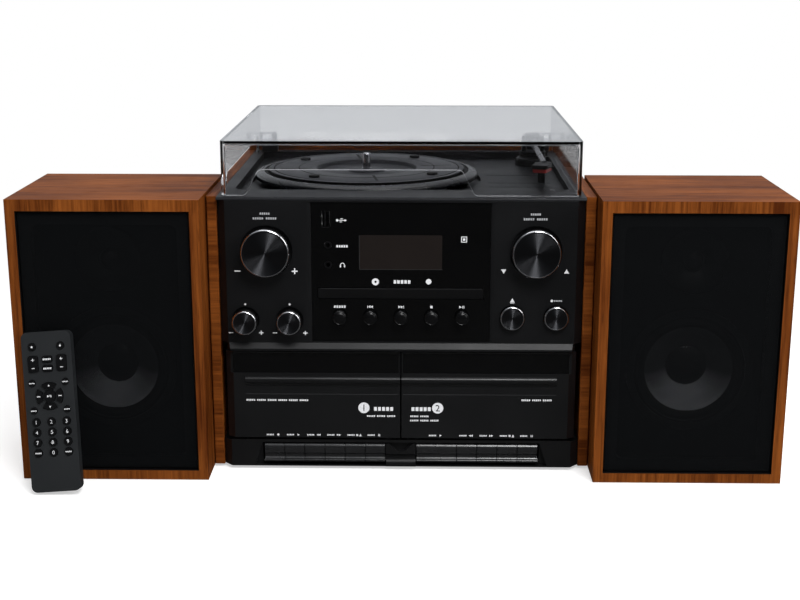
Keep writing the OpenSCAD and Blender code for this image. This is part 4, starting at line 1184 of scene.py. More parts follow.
@dataclass
class SubAssembly:
    """A group of pieces: dresses the frame's solids and makes new pieces in a frame of its own."""

    frame: dict

    def local(self) -> LocalFrame:
        """Returns the main unit's own frame, whose y = 0 is the plane of the front."""
        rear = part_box("wood_cabinet")[1].y / MM
        return LocalFrame(Matrix.Translation((0, rear - UNIT_DEPTH, 0)))

    def metres(self, x: float, y: float, z: float) -> Point:
        """Returns a point of the local frame in metres of the row frame."""
        return tuple(self.local().rows(np.array([[x, y, z]]))[0].tolist())

    def dress(self, node: str, finish: Finish, width: float = 0.3, segments: int = 2) -> None:
        """Gives a carried-over solid its finish and eased edges.

        Args:
            node: The solid's name.
            finish: What its surface is made of.
            width: Bevel of its edges in millimetres.
            segments: Steps of the bevel.
        """
        thing = self.frame["nodes"][node]
        if not thing.material_slots:
            thing.data.materials.append(None)
        for held in thing.material_slots:
            held.link, held.material = "OBJECT", finish.material()
        weld = thing.modifiers.new("Weld", "WELD")
        weld.merge_threshold = WELD
        ease_edges(thing, width, segments)
        LOG.info("dressed %s in %s", node, finish.name)

    def piece(self, name: str, shape: Shape, finishes: Sequence[Finish], body: str = "main_unit",
              width: float = 0.0, replaces: str = "",
              at: LocalFrame | None = None) -> bpy.types.Object:
        """Makes a new piece and puts it on its body.

        Args:
            name: The piece's name.
            shape: Its form in millimetres of the local frame.
            finishes: One for each number in the shape's looks.
            body: The body that it rides on.
            width: Bevel of its edges in millimetres.
            replaces: The solid that it stands for, if there is one.
            at: The local frame, where it isn't the sub-assembly's own.

        Returns:
            The object, at the origin, with its place in its mesh.
        """
        mesh = bpy.data.meshes.new(name)
        mesh.from_pydata((at or self.local()).rows(shape.points).tolist(), [], shape.faces)
        mesh.polygons.foreach_set("material_index", shape.looks)
        if shape.uv is not None:
            corner = np.empty(len(mesh.loops), np.int32)
            mesh.loops.foreach_get("vertex_index", corner)
            mesh.uv_layers.new(name=shape.uv_name).data.foreach_set("uv", shape.uv[corner].ravel())
        close_mesh(mesh)
        for finish in finishes:
            mesh.materials.append(finish.material())
        thing = bpy.data.objects.new(name, mesh)
        bpy.context.scene.collection.objects.link(thing)
        ease_edges(thing, width)
        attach(thing, body)
        if replaces:
            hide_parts(replaces)
        LOG.info("made %s on %s: %d faces", name, body, len(mesh.polygons))
        return thing

    def printed(self, name: str, loops: Sequence[Loop], plane: float, finish: Finish,
                body: str = "main_unit") -> None:
        """Prints closed outlines on a plane that faces the front.

        Args:
            name: The piece's name.
            loops: The outlines, in X and Z.
            plane: The y of the plane.
            finish: The ink.
            body: The body that it rides on.
        """
        inks = [pushed(loop, plane - PRINT_PROUD, plane + PRINT_SUNK) for loop in loops]
        self.piece(name, Shape.joined(inks), [finish], body)


class Icon(Enum):
    """Plain signs for keys and dials."""

    RECORD = "record"
    PLAY = "play"
    REWIND = "rewind"
    FORWARD = "forward"
    STOP_EJECT = "stop and eject"
    PAUSE = "pause"
    PREVIOUS = "previous"
    NEXT = "next"
    STOP = "stop"
    PLAY_PAUSE = "play and pause"
    EJECT = "eject"
    PLUS = "plus"
    MINUS = "minus"
    UP = "up"
    DOWN = "down"
    DOT = "dot"
    WORD = "word"
    RING = "ring"
    ARCH = "arch"
    FRAME = "frame"
    BRANCH = "branch"

    def loops(self, x: float, z: float, s: float) -> list[Loop]:
        """Draws the sign; a word is left as a row of blocks.

        Args:
            x: Its middle sideways.
            z: Its middle upwards.
            s: Its height, in which its parts are measured.

        Returns:
            The closed outlines of its parts.
        """
        left, right, up, down = math.pi, 0.0, math.pi / 2, -math.pi / 2

        def block(dx: float, dz: float, width: float, height: float) -> Loop:
            """Returns a bar off the sign's middle."""
            return bar(x + dx * s, z + dz * s, width * s, height * s)

        def arrow(dx: float, dz: float, heading: float, size: float = 1.0) -> Loop:
            """Returns a pointer off the sign's middle."""
            return pointer(x + dx * s, z + dz * s, size * s, heading)

        signs = {
            Icon.RECORD: [disc(x, z, s * 0.5)],
            Icon.PLAY: [arrow(0, 0, right)],
            Icon.REWIND: [arrow(-0.42, 0, left), arrow(0.42, 0, left)],
            Icon.FORWARD: [arrow(-0.42, 0, right), arrow(0.42, 0, right)],
            Icon.STOP_EJECT: [block(-0.75, 0, 0.85, 0.85), arrow(0.65, 0.12, up),
                              block(0.65, -0.48, 1, 0.2)],
            Icon.PAUSE: [block(-0.26, 0, 0.28, 1), block(0.26, 0, 0.28, 1)],
            Icon.PREVIOUS: [block(-0.95, 0, 0.18, 1), arrow(-0.35, 0, left), arrow(0.5, 0, left)],
            Icon.NEXT: [arrow(-0.5, 0, right), arrow(0.35, 0, right), block(0.95, 0, 0.18, 1)],
            Icon.STOP: [block(0, 0, 0.9, 0.9)],
            Icon.PLAY_PAUSE: [arrow(-0.55, 0, right), block(0.25, 0, 0.24, 1),
                              block(0.68, 0, 0.24, 1)],
            Icon.EJECT: [arrow(0, 0.12, up), block(0, -0.48, 1, 0.2)],
            Icon.PLUS: [cross(x, z, s, s * 0.22)],
            Icon.MINUS: [block(0, 0, 1, 0.22)],
            Icon.UP: [arrow(0, 0, up)],
            Icon.DOWN: [arrow(0, 0, down)],
            Icon.DOT: [disc(x, z, s * 0.5)],
            Icon.WORD: [block((k - 2) * 0.86, 0, 0.62, 0.85) for k in range(5)],
            Icon.RING: [band(x, z, s * 0.16, s * 0.5, 0.02, 2 * math.pi - 0.02, 40)],
            Icon.ARCH: [band(x, z, s * 0.32, s * 0.48, 0.0, math.pi),
                        block(-0.42, -0.27, 0.26, 0.5), block(0.42, -0.27, 0.26, 0.5)],
            Icon.FRAME: [block(0, 0.44, 1, 0.12), block(0, -0.44, 1, 0.12),
                         block(-0.44, 0, 0.12, 0.74), block(0.44, 0, 0.12, 0.74),
                         block(0, 0, 0.4, 0.4)],
            Icon.BRANCH: [disc(x - s * 0.8, z, s * 0.24), block(0, 0, 1.3, 0.14),
                          arrow(0.85, 0, right, 0.5), block(0.1, 0.3, 0.5, 0.14),
                          block(-0.1, -0.3, 0.5, 0.14)],
        }
        return signs[self]

    def row(self, places: Iterable[tuple[float, float, float]]) -> list[Loop]:
        """Returns the sign's outlines at several places, each an x, a z and a height."""
        return [loop for x, z, size in places for loop in self.loops(x, z, size)]


# ------------------------------------------------------------------ cabinet


@dataclass
class Cabinet(SubAssembly):
    """Wooden sides and rail, base, rear cover, sockets and hinges."""

    rear_y: float = 277.5
    screws: tuple[tuple[float, float], ...] = ((-140, 14), (140, 14), (-140, 211.5), (140, 211.5))
    screw_r: float = 3.2
    cross: float = 3.0
    cross_arm: float = 0.7
    partition_half: float = 6.0
    corner_x: tuple[float, float] = (118.2, 144.2)
    hinge_x: float = 135.5
    hinge_half: float = 8.0

    def build(self) -> None:
        """Dresses the solids, closes gaps and sets the screws of the rear cover."""
        self.dress("wood_cabinet", WOOD_PANELS, 0.5)
        self.dress("base_tray", UNDER, 0.4)
        self.dress("rear_cover", UNDER, 0.3)
        front = self.local().matrix.translation.y * MM
        self.dress("sockets", Fittings("Sockets", Slot.DARK_METAL, front + 0.2), 0.0)
        self.dress("lid_hinges", DOORS, 0.4)
        self.dress("circuit_boards", BOARD, 0.0)
        self.screw_heads()
        self.fillers()

    def fillers(self) -> None:
        """Parts the tape bays, closes the base's front corners and blocks up the lid's hinges."""
        half = self.partition_half
        wall = pushed(rounded(-half, 38, half, 60, 1), 14.4, 104.6, Axis.UP)
        self.piece("bay_partition", wall, [UNDER])
        near, far = self.corner_x
        plates = [pushed(rounded(x0, 12, x1, 35.6, 1), 2.7, 3.1, Axis.UP)
                  for x0, x1 in ((-far, -near), (near, far))]
        self.piece("base_corners", Shape.joined(plates), [UNDER])
        half = self.hinge_half
        blocks = [pushed(rounded(x - half, 259.5, x + half, 267.5, 1.2), 235.6, 243, Axis.UP)
                  for x in (-self.hinge_x, self.hinge_x)]
        self.piece("hinge_blocks", Shape.joined(blocks), [DOORS], width=0.4)

    def screw_heads(self) -> None:
        """Pan heads: a turned cap of quarter-ellipse profile, with a painted-shade cross of two
        bars.
        """
        parts, r = [], self.screw_r
        cap = [(r * math.cos(t), 1.5 * math.sin(t)) for t in np.linspace(0, math.pi / 2, 6)]
        for x, z in self.screws:
            parts.append(turned([(0, -0.4), (r, -0.4)] + cap, (x, self.rear_y, z), Axis.BACK, 24))
            # Painted shade: two dark bars stand for the cross recess.
            for width, height in ((self.cross, self.cross_arm), (self.cross_arm, self.cross)):
                slot, y = bar(x, z, width, height), self.rear_y + 1.1
                parts.append(pushed(slot, y, y + 0.43, Axis.BACK).look(1))
        self.piece("rear_screws", Shape.joined(parts), [STEEL, DARK_INK_AND_SHADE])


# ------------------------------------------------------------------ front


@dataclass(frozen=True)
class Knob:
    """One turned cap: its node and body, which share a name, its place, radius and height."""

    node: str
    x: float
    z: float
    r: float
    out: float

    def profile(self) -> list[tuple[float, float]]:
        """Draws the cap: back, side with three fine grooves, polished rim, and a dipping face.

        Returns:
            Radius and distance from the front, point by point.
        """
        r, out = self.r, self.out
        side = [(r - 0.2, -0.4)]
        for h in (out - 4.8, out - 3.6, out - 2.4) if out > BUTTON_OUT else ():
            side += [(r - 0.2, h - 0.25), (r - 0.45, h), (r - 0.2, h + 0.25)]
        rim = [(r - 0.2, out - 1.5), (r, out - 1.3), (r, out - 1.0), (r - 0.25, out - 0.6),
               (r - 0.75, out - 0.1), (r - 1.0, out), (r - 1.25, out - 0.1), (r - 1.45, out - 0.65)]
        face = [(r * 0.7, out - 0.75), (r * 0.3, out - 1.0), (0.6, out - 1.1), (0, out - 1.1)]
        return [(0, -1), (r - 0.8, -1)] + side + rim + face

    def looks(self) -> list[int]:
        """Dark sides, seven bands of polished rim, four of spun face."""
        return [0] * (len(self.profile()) - 12) + [1] * 7 + [2] * 4

    def stem(self) -> list[tuple[float, float]]:
        """Draws what holds the cap: a flange on a round key, a shaft on a small knob.

        Returns:
            Its profile, or nothing on a knob whose shaft is a node of its own.
        """
        if self.out < BUTTON_OUT:
            wide, narrow = self.r + 1.6, self.r - 1
            return [(0, -7), (wide, -7), (wide, -5), (narrow, -5), (narrow, -0.9), (0, -0.9)]
        return [(0, -15), (3, -15), (3, -0.9), (0, -0.9)] if self.r < 12 else []


@dataclass
class FrontPanel(SubAssembly):
    """Upper front: fascia, gloss panel, display window, knobs, buttons and the disc drawer."""

    big_r: float = 20.0
    small_r: float = 10.25
    knob_out: float = 11.0
    key_out: float = 4.0
    big_x: float = 111.0
    big_z: float = 190.7
    tone_z: float = 131.8
    button_r: float = 5.85
    button_z: float = 134.8
    pitch: float = 25.4
    glass_y: float = 1.2
    drawer_y: float = 0.6
    lcd: tuple[float, float, float, float] = (-34.0, 175.5, 34.0, 204.2)

    def knobs(self) -> list[Knob]:
        """Lists the four knobs, and the two round keys beside the tone knobs.

        Returns:
            Their caps.
        """
        big, small, out = self.big_r, self.small_r, self.knob_out
        return [Knob("volume_knob", -self.big_x, self.big_z, big, out),
                Knob("scroll_knob", self.big_x, self.big_z, big, out),
                Knob("bass_knob", -129.5, self.tone_z, small, out),
                Knob("treble_knob", -92.6, self.tone_z, small, out),
                Knob("eject_button", 92.6, self.button_z, small, self.key_out),
                Knob("record_button", 129, self.button_z, small, self.key_out)]

    def build(self) -> None:
        """Dresses the solids, then makes the knobs, buttons, display and prints."""
        self.dress("front_fascia", FASCIA, 0.6)
        self.dress("display_panel", GLASS, 0.2)
        self.dress("cd_tray", DRAWER, 0.4)
        self.dress("cd_loader", STEEL, 0.2)
        for node in ("volume_shaft", "scroll_shaft"):
            self.dress(node, STEEL, 0.0)
        for knob in self.knobs():
            self.cap(knob)
        for i, name in enumerate(("info", "previous", "next", "stop", "play")):
            self.button(f"{name}_button", (i - 2) * self.pitch)
        self.display()
        self.knob_signs()
        self.words()
        self.glass_signs()

    def cap(self, knob: Knob) -> None:
        """Makes one turned cap with its own shaft or flange where the solid has one.

        Args:
            knob: The cap's sizes and place.
        """
        centre = self.metres(knob.x, 0.0, knob.z)
        face = Spun(f"Spun face of {knob.node.replace('_', ' ')}", Slot.SPUN, centre)
        parts = [turned(knob.profile(), (knob.x, 0, knob.z), Axis.FRONT, 192, knob.looks())]
        if knob.stem():
            parts.append(turned(knob.stem(), (knob.x, 0, knob.z), Axis.FRONT, 64))
        self.piece(f"{knob.node}_cap", Shape.joined(parts), [BUTTONS, POLISH, face], knob.node,
                   replaces=knob.node)

    def button(self, node: str, x: float) -> None:
        """Domed cap with a fine ring round its crown, on its retaining flange.

        Args:
            node: The button's node, which is its body's name too.
            x: Its place sideways.
        """
        r = self.button_r
        profile = [(0, -6.6), (r + 1.4, -6.6), (r + 1.4, -5), (r, -5), (r, 4.4), (r - 0.15, 4.85),
                   (r - 0.5, 5.15), (r - 0.95, 5.25), (r - 1.2, 5.1), (r - 1.45, 5.3),
                   (r * 0.5, 5.95), (r * 0.25, 6.13), (0, 6.2)]
        shape = turned(profile, (x, 0, self.button_z), Axis.FRONT, 96)
        self.piece(f"{node}_cap", shape, [BUTTONS], node, replaces=node)

    def display(self) -> None:
        """Display window, 0.1 mm proud of the gloss panel, with a faint line on two sides."""
        x0, z0, x1, z1 = self.lcd
        plate = pushed(rounded(x0, z0, x1, z1, 0.8), self.glass_y - 0.1, self.glass_y + 0.05)
        self.piece("display_window", plate, [WINDOW])
        edge = [bar((x0 + x1) / 2, z0 - 0.2, x1 - x0 + 0.8, 0.35),
                bar(x0 - 0.2, (z0 + z1) / 2, 0.35, z1 - z0)]
        self.printed("display_border", edge, self.glass_y, FAINT_INK_AND_HIGHLIGHT)

    def knob_signs(self) -> None:
        """Plain signs beside the knobs and over the two round keys."""
        loops: list[Loop] = []
        for x, z, apart, size, low, high in ((-111.4, 173.8, 23.7, 4.9, Icon.MINUS, Icon.PLUS),
                                             (110.6, 174.4, 25.9, 4.2, Icon.DOWN, Icon.UP)):
            loops += low.loops(x - apart, z, size) + high.loops(x + apart, z, size)
        for x in (-129.4, -92.5):
            loops += Icon.MINUS.loops(x - 12.7, 120.8, 3.6) + Icon.PLUS.loops(x + 12.7, 120.8, 3.6)
            loops += Icon.DOT.loops(x, 145.4, 1.7)
        loops += Icon.EJECT.loops(92.4, 149.3, 3.6) + Icon.RECORD.loops(125.1, 149.4, 2.2)
        self.printed("front_signs", loops, 0.0, PALE)

    def words(self) -> None:
        """Rows of blocks where the fascia has words."""
        rows = [(-111.4, 222.1, 2.0), (110.0, 222.1, 2.0)]
        rows += [(x, 218.1, 2.1) for x in (-117.0, -106.2, 104.5, 115.3)] + [(130.2, 149.4, 1.6)]
        self.printed("front_words", Icon.WORD.row(rows), 0.0, MARKS)

    def glass_signs(self) -> None:
        """Plain signs on the gloss panel, and a painted highlight line along the drawer's top edge.
        """
        over = [Icon.WORD, Icon.PREVIOUS, Icon.NEXT, Icon.STOP, Icon.PLAY_PAUSE]
        signs = [(icon, (i - 2) * self.pitch, 143.4, 2.4) for i, icon in enumerate(over)]
        signs += [(Icon.RING, -21.0, 164.8, 6.0), (Icon.WORD, 1.0, 164.8, 3.4),
                  (Icon.DOT, 23.0, 165.1, 4.6), (Icon.FRAME, 51.9, 200.8, 4.9),
                  (Icon.BRANCH, -48.8, 216.5, 4.2), (Icon.WORD, -48.4, 194.8, 2.3),
                  (Icon.ARCH, -48.2, 179.0, 4.0)]
        marks = [loop for icon, x, z, size in signs for loop in icon.loops(x, z, size)]
        self.printed("button_signs", marks, self.glass_y, PALE)
        # Painted highlight: a faint lighter line where light catches the drawer's top edge.
        line = bar(0, 159.0, 134.0, 0.3)
        self.printed("drawer_edge_highlight", [line], self.drawer_y, FAINT_INK_AND_HIGHLIGHT, "disc_drawer")


# ------------------------------------------------------------------ cassette deck


@dataclass
class CassetteDeck(SubAssembly):
    """Doors, their windows, numbers and signs, the key panel and the keys."""

    face_y: float = -1.0
    key_pitch: float = 17.2
    key_end: float = 116.4
    centre_half: float = 13.2
    sign_z: float = 31.0
    sign_apart: float = 3.4
    line_x: float = 66.5
    line_z: float = 67.5
    badge_x: float = 31.2
    badge_z: float = 55.5
    badge_r: float = 4.75
    digit: float = 5.6

    def build(self) -> None:
        """Dresses the solids and adds the prints of each door."""
        self.dress("key_panel", LOWER, 0.4)
        self.dress("cassette_mechanisms", STEEL, 0.0)
        for side in ("left", "right"):
            self.dress(f"cassette_door_{side}", DOORS, 0.5)
            self.dress(f"door_window_{side}", GLASS, 0.2)
            for key in ("record", "play", "rewind", "forward", "stop", "pause"):
                if (side, key) != ("right", "record"):
                    self.dress(f"key_{side}_{key}", KEYS, 0.4)
        icons = [Icon.RECORD, Icon.PLAY, Icon.REWIND, Icon.FORWARD, Icon.STOP_EJECT, Icon.PAUSE]
        left = [-self.key_end + (i + 0.5) * self.key_pitch for i in range(6)]
        right = [self.centre_half + k * self.key_pitch for k in (1, 2.5, 3.5, 4.5, 5.5)]
        self.door(-1, "1", zip(icons, left))
        self.door(1, "2", zip(icons[1:], right))

    @staticmethod
    def words(side: int) -> list[tuple[float, float, float, int]]:
        """Lists the rows of blocks of one door's print.

        Args:
            side: -1 for the left door, 1 for the right one.

        Returns:
            Left end, height, size and number of words for each row.
        """
        if side < 0:
            return [(-131.5, 62.0, 1.8, 6), (-24.6, 54.6, 4.0, 1), (-29.5, 48.2, 1.7, 3)]
        return [(101.0, 63.0, 1.8, 3), (7.2, 54.6, 4.0, 1), (7.2, 48.2, 1.7, 2),
                (7.2, 44.4, 1.7, 3)]

    def door(self, side: int, number: str, signs: Iterable[tuple[Icon, float]]) -> None:
        """Prints one door: a line, the signs over its keys, and its number on a pale disc.

        Args:
            side: -1 for the left door, 1 for the right one.
            number: The door's number.
            signs: Each key's sign and its place sideways.
        """
        body, y = "left_door" if side < 0 else "right_door", self.face_y
        line = bar(side * self.line_x, self.line_z, 129, 0.45)
        self.printed(f"{body}_line", [line], y, FAINT_INK_AND_HIGHLIGHT, body)
        loops: list[Loop] = []
        for icon, x in signs:
            loops += icon.loops(x + self.sign_apart, self.sign_z, 2.0)
            loops += Icon.WORD.loops(x - self.sign_apart, self.sign_z, 1.5)
        for x, z, size, count in self.words(side):
            loops += Icon.WORD.row([(x + (k + 0.5) * size * 5.0, z, size) for k in range(count)])
        self.printed(f"{body}_print", loops, y, PALE, body)
        x, z, r = side * self.badge_x, self.badge_z, self.badge_r
        badge = turned([(0, 0), (r, 0), (r, 0.06), (0, 0.06)], (x, y + 0.02, z), Axis.FRONT, 64)
        digit = numeral(number, self.digit, x, z, y - 0.02, 0.08).look(1)
        self.piece(f"{body}_number", Shape.joined([badge, digit]), [PALE, DARK_INK_AND_SHADE], body)


# ------------------------------------------------------------------ record player


@dataclass
class RecordPlayer(SubAssembly):
    """Deck, platter with its pads, spindle, tonearm and speed switch."""

    x: float = -33.5
    y: float = 138.0
    r: float = 101.0
    top: float = 239.5
    pin_r: float = 3.55
    pin_out: float = 13.1
    bearing_r: float = 4.5
    hub_z: float = 226.4
    pad_at: float = 73.5
    pad_r: float = 4.75
    pivot: Point = (124.0, 222.0, 250.0)
    arm_l: float = 145.0
    tube_r: float = 2.6
    head_turn: float = math.radians(-20)

    def build(self) -> None:
        """Dresses the deck, then makes the turned pieces and the arm."""
        self.dress("turntable_deck", DECK, 0.8, 3)
        self.dress("tonearm_base", ARM_BLACK, 0.6)
        self.dress("tonearm_turret", ARM_BLACK, 0.4)
        self.dress("speed_switch", DOORS, 0.3)
        self.platter()
        self.pads()
        self.spindle()
        self.arm()
        self.head()

    def platter(self) -> None:
        """Turned platter: underside, shoulder, groove, field with two fine ones, sunk middle."""
        r, bore, hub = self.r, self.bearing_r + 0.05, self.hub_z - self.top
        under = [(bore, hub), (12, hub), (12, -6), (r - 8, -6), (r - 6, -8.3), (r - 4.5, -8.5),
                 (r - 1.8, -8.5), (r - 0.5, -7.9), (r, -6.9)]
        shoulder = [(r, -4.9), (r - 0.35, -4.1), (r - 1.2, -3.3), (r - 2.6, -2.6), (r - 4.2, -2.1),
                    (r - 6, -1.7), (r - 7.6, -1.5), (r - 8.1, -1.7)]
        groove = [(r - 8.4, -2.7), (88.9, -2.7), (88.6, -0.3), (88.3, 0)]
        field = [(84.8, 0), (84.4, -0.2), (84.2, -0.8), (83.4, -0.8), (83.2, -0.1), (82.9, 0),
                 (62.2, 0), (61.9, -0.35), (61.2, -0.35), (60.9, 0), (46.3, 0)]
        middle = [(45.7, -0.3), (45.1, -1.4), (44.6, -3.1), (44.1, -3.5), (18, -3.5), (17.4, -3.2),
                  (16.6, -1.7), (15.9, -1.5), (bore, -1.5)]
        profile = under + shoulder + groove + field + middle + under[:1]
        edge = len(under) + len(shoulder)
        # The groove faces take the painted groove shade.
        grooves = [edge + i for i in (-1, 0, 1, 5, 6, 7, 11, 12)]
        looks = [1 if i in grooves else 2 if 6 <= i < edge - 1 else 0
                 for i in range(len(profile) - 1)]
        shape = turned(profile, (self.x, self.y, self.top), Axis.UP, 256, looks)
        self.piece("platter_turned", shape, [PLATTER, SHADOW_RING, PLATTER_RIM], "platter",
                   replaces="platter")

    def pads(self) -> None:
        """Four round rubber pads in the field, with four strips of painted slot shade between."""
        parts, r = [], self.pad_r
        pad = [(0, -0.8), (r, -0.8), (r, 1.35), (r - 0.15, 1.65), (r - 0.55, 1.8), (0, 1.8)]
        for heading in np.radians(range(54, 360, 90)):
            x = self.x + self.pad_at * math.cos(heading)
            y = self.y + self.pad_at * math.sin(heading)
            parts.append(turned(pad, (x, y, self.top), Axis.UP, 48))
        # Painted shade: dark strips 0.03 mm proud of the field, where the radial slots would be.
        for heading in np.radians(range(9, 360, 90)):
            loop = headed(rounded(49.5, -1.2, 78.5, 1.2, 0.6), heading) + (self.x, self.y)
            parts.append(pushed(loop, self.top - 0.3, self.top + 0.03, Axis.UP).look(1))
        self.piece("platter_pads", Shape.joined(parts), [RUBBER, SHADOW_RING], "platter")

    def spindle(self) -> None:
        """Stepped steel pin with a rounded tip, its seat washer and its flange under the deck."""
        r, rest = self.pin_r, self.bearing_r
        top, step = self.top + self.pin_out, self.top - 0.9
        profile = [(0, 217.5), (8, 217.5), (8, 221.5), (rest, 221.5), (rest, 225.5), (7, 225.5),
                   (7, 226.1), (rest, 226.1), (rest, step), (r, step), (r, top - 1.5),
                   (r - 0.15, top - 0.9), (r - 0.6, top - 0.4), (r - 1.4, top - 0.08), (0, top)]
        shape = turned(profile, (self.x, self.y, 0), Axis.UP, 96)
        self.piece("spindle_pin", shape, [CHROME], replaces="spindle")

    def arm(self) -> None:
        """Arm along -Y from its cross pin: tail block, pin and tube."""
        tail = pushed(rounded(-6.4, -10, 6.4, 22, 3), -5, 5, Axis.UP)
        pin = turned([(0, -10.3), (1.5, -10.3), (1.5, 10.3), (0, 10.3)], (0, 0, 0), Axis.RIGHT, 32)
        r, end = self.tube_r, self.arm_l - 16
        tube = turned([(0, 8), (r, 8), (r, end - 10), (r - 0.3, end), (0, end)], (0, 0, 0),
                      Axis.FRONT, 48, [1])
        self.piece("tonearm_dressed", Shape.joined([tail, pin, tube]), [ARM_BLACK, ARM_TUBE], "arm",
                   0.35, "tonearm", self.local().shifted(*self.pivot))

    def head(self) -> None:
        """Head turned inwards at the tube's end: shell, stylus carrier, stylus and finger lift."""
        half = np.array([(3.2, 2), (4.6, 0), (7, -6), (7, -21.4), (6.4, -23.2), (5, -24)])
        shell = pushed(np.concatenate([half, half[::-1] * (-1, 1)]), -2.4, 1.0, Axis.UP)
        carrier = pushed(rounded(-6.2, -23, 6.2, -5, 1.2), -5.6, -2.2, Axis.UP).look(1)
        needle = turned([(0, 0), (0.35, 0), (1.4, 1.8), (0, 1.8)], (0, -19, -6.6), Axis.UP, 16)
        t = np.linspace(0, 1, 9)
        path = np.stack([6.4 + 6.0 * t, -21.5 + 0 * t, -0.6 + 0.8 * t * t], axis=-1)
        lift = swept(path, np.array((0.0, 0.0, 1.0)), bar(0, 0, 2.8, 0.7))
        end = self.local().shifted(*self.pivot).shifted(2, 19 - self.arm_l, 0)
        self.piece("tonearm_head", Shape.joined([shell, carrier, needle, lift]),
                   [ARM_BLACK, RED_BODY], "arm", 0.35, at=end.turned(self.head_turn, "Z"))


@dataclass
class Lid(SubAssembly):
    """Clear lid, and strips of painted highlight for the light that its polished edges carry."""

    half: float = 147.75
    foot: float = 235.9
    top: float = 278.0
    front: float = 7.0
    wall: float = 2.5
    notch_x: float = -33.5
    notch_run: float = 21.4
    notch_rise: float = 8.0

    def build(self) -> None:
        """Dresses the lid and lines its edges with strips of painted highlight."""
        self.dress("dust_cover", CLEAR, 1.2, 3)
        inner, y = self.half - self.wall, self.front + self.wall + 0.2
        parts = [self.notch_line()]
        parts.append(pushed(bar(0, self.top - 0.75, 2 * inner - 4, 0.9), y, y + 0.3))
        middle, height = (self.foot + self.top) / 2, self.top - self.foot - 4
        for side in (-1, 1):
            parts.append(pushed(bar(side * (inner - 1.4), middle, 0.8, height), y, y + 0.3))
        self.piece("lid_edge_highlights", Shape.joined(parts), [EDGE_LIGHT], "lid")

    def notch_line(self) -> Shape:
        """Lines the front edge: flat, rounded foot of the notch, slope, rounded corner, and back.

        Returns:
            A strip of painted highlight 2.2 mm wide, swept along the edge.
        """
        slope = math.atan2(self.notch_rise, self.notch_run)
        a = np.linspace(-math.pi / 2, -slope, 7)
        low = np.stack([-97.34 + 5 * np.cos(a), 5 + 5 * np.sin(a)], axis=-1)
        a = np.linspace(math.pi - slope, math.pi / 2, 7)
        high = np.stack([-79.84 + 6 * np.cos(a), 15.4 + 6 * np.sin(a)], axis=-1)
        left = np.concatenate([low, high])
        path = np.concatenate([left, left[::-1] * (-1, 1)]) + (self.notch_x, self.foot)
        end = self.half - 4
        path = np.concatenate([[(-end, self.foot)], path, [(end, self.foot)]])
        depth = np.full(len(path), self.front + self.wall / 2)
        strip = np.array([(-0.32, -1.1), (-0.02, -1.1), (-0.02, 1.1), (-0.32, 1.1)])
        points = np.column_stack([path[:, 0], depth, path[:, 1]])
        return swept(points, np.array((0.0, 1.0, 0.0)), strip)


# ------------------------------------------------------------------ loudspeakers


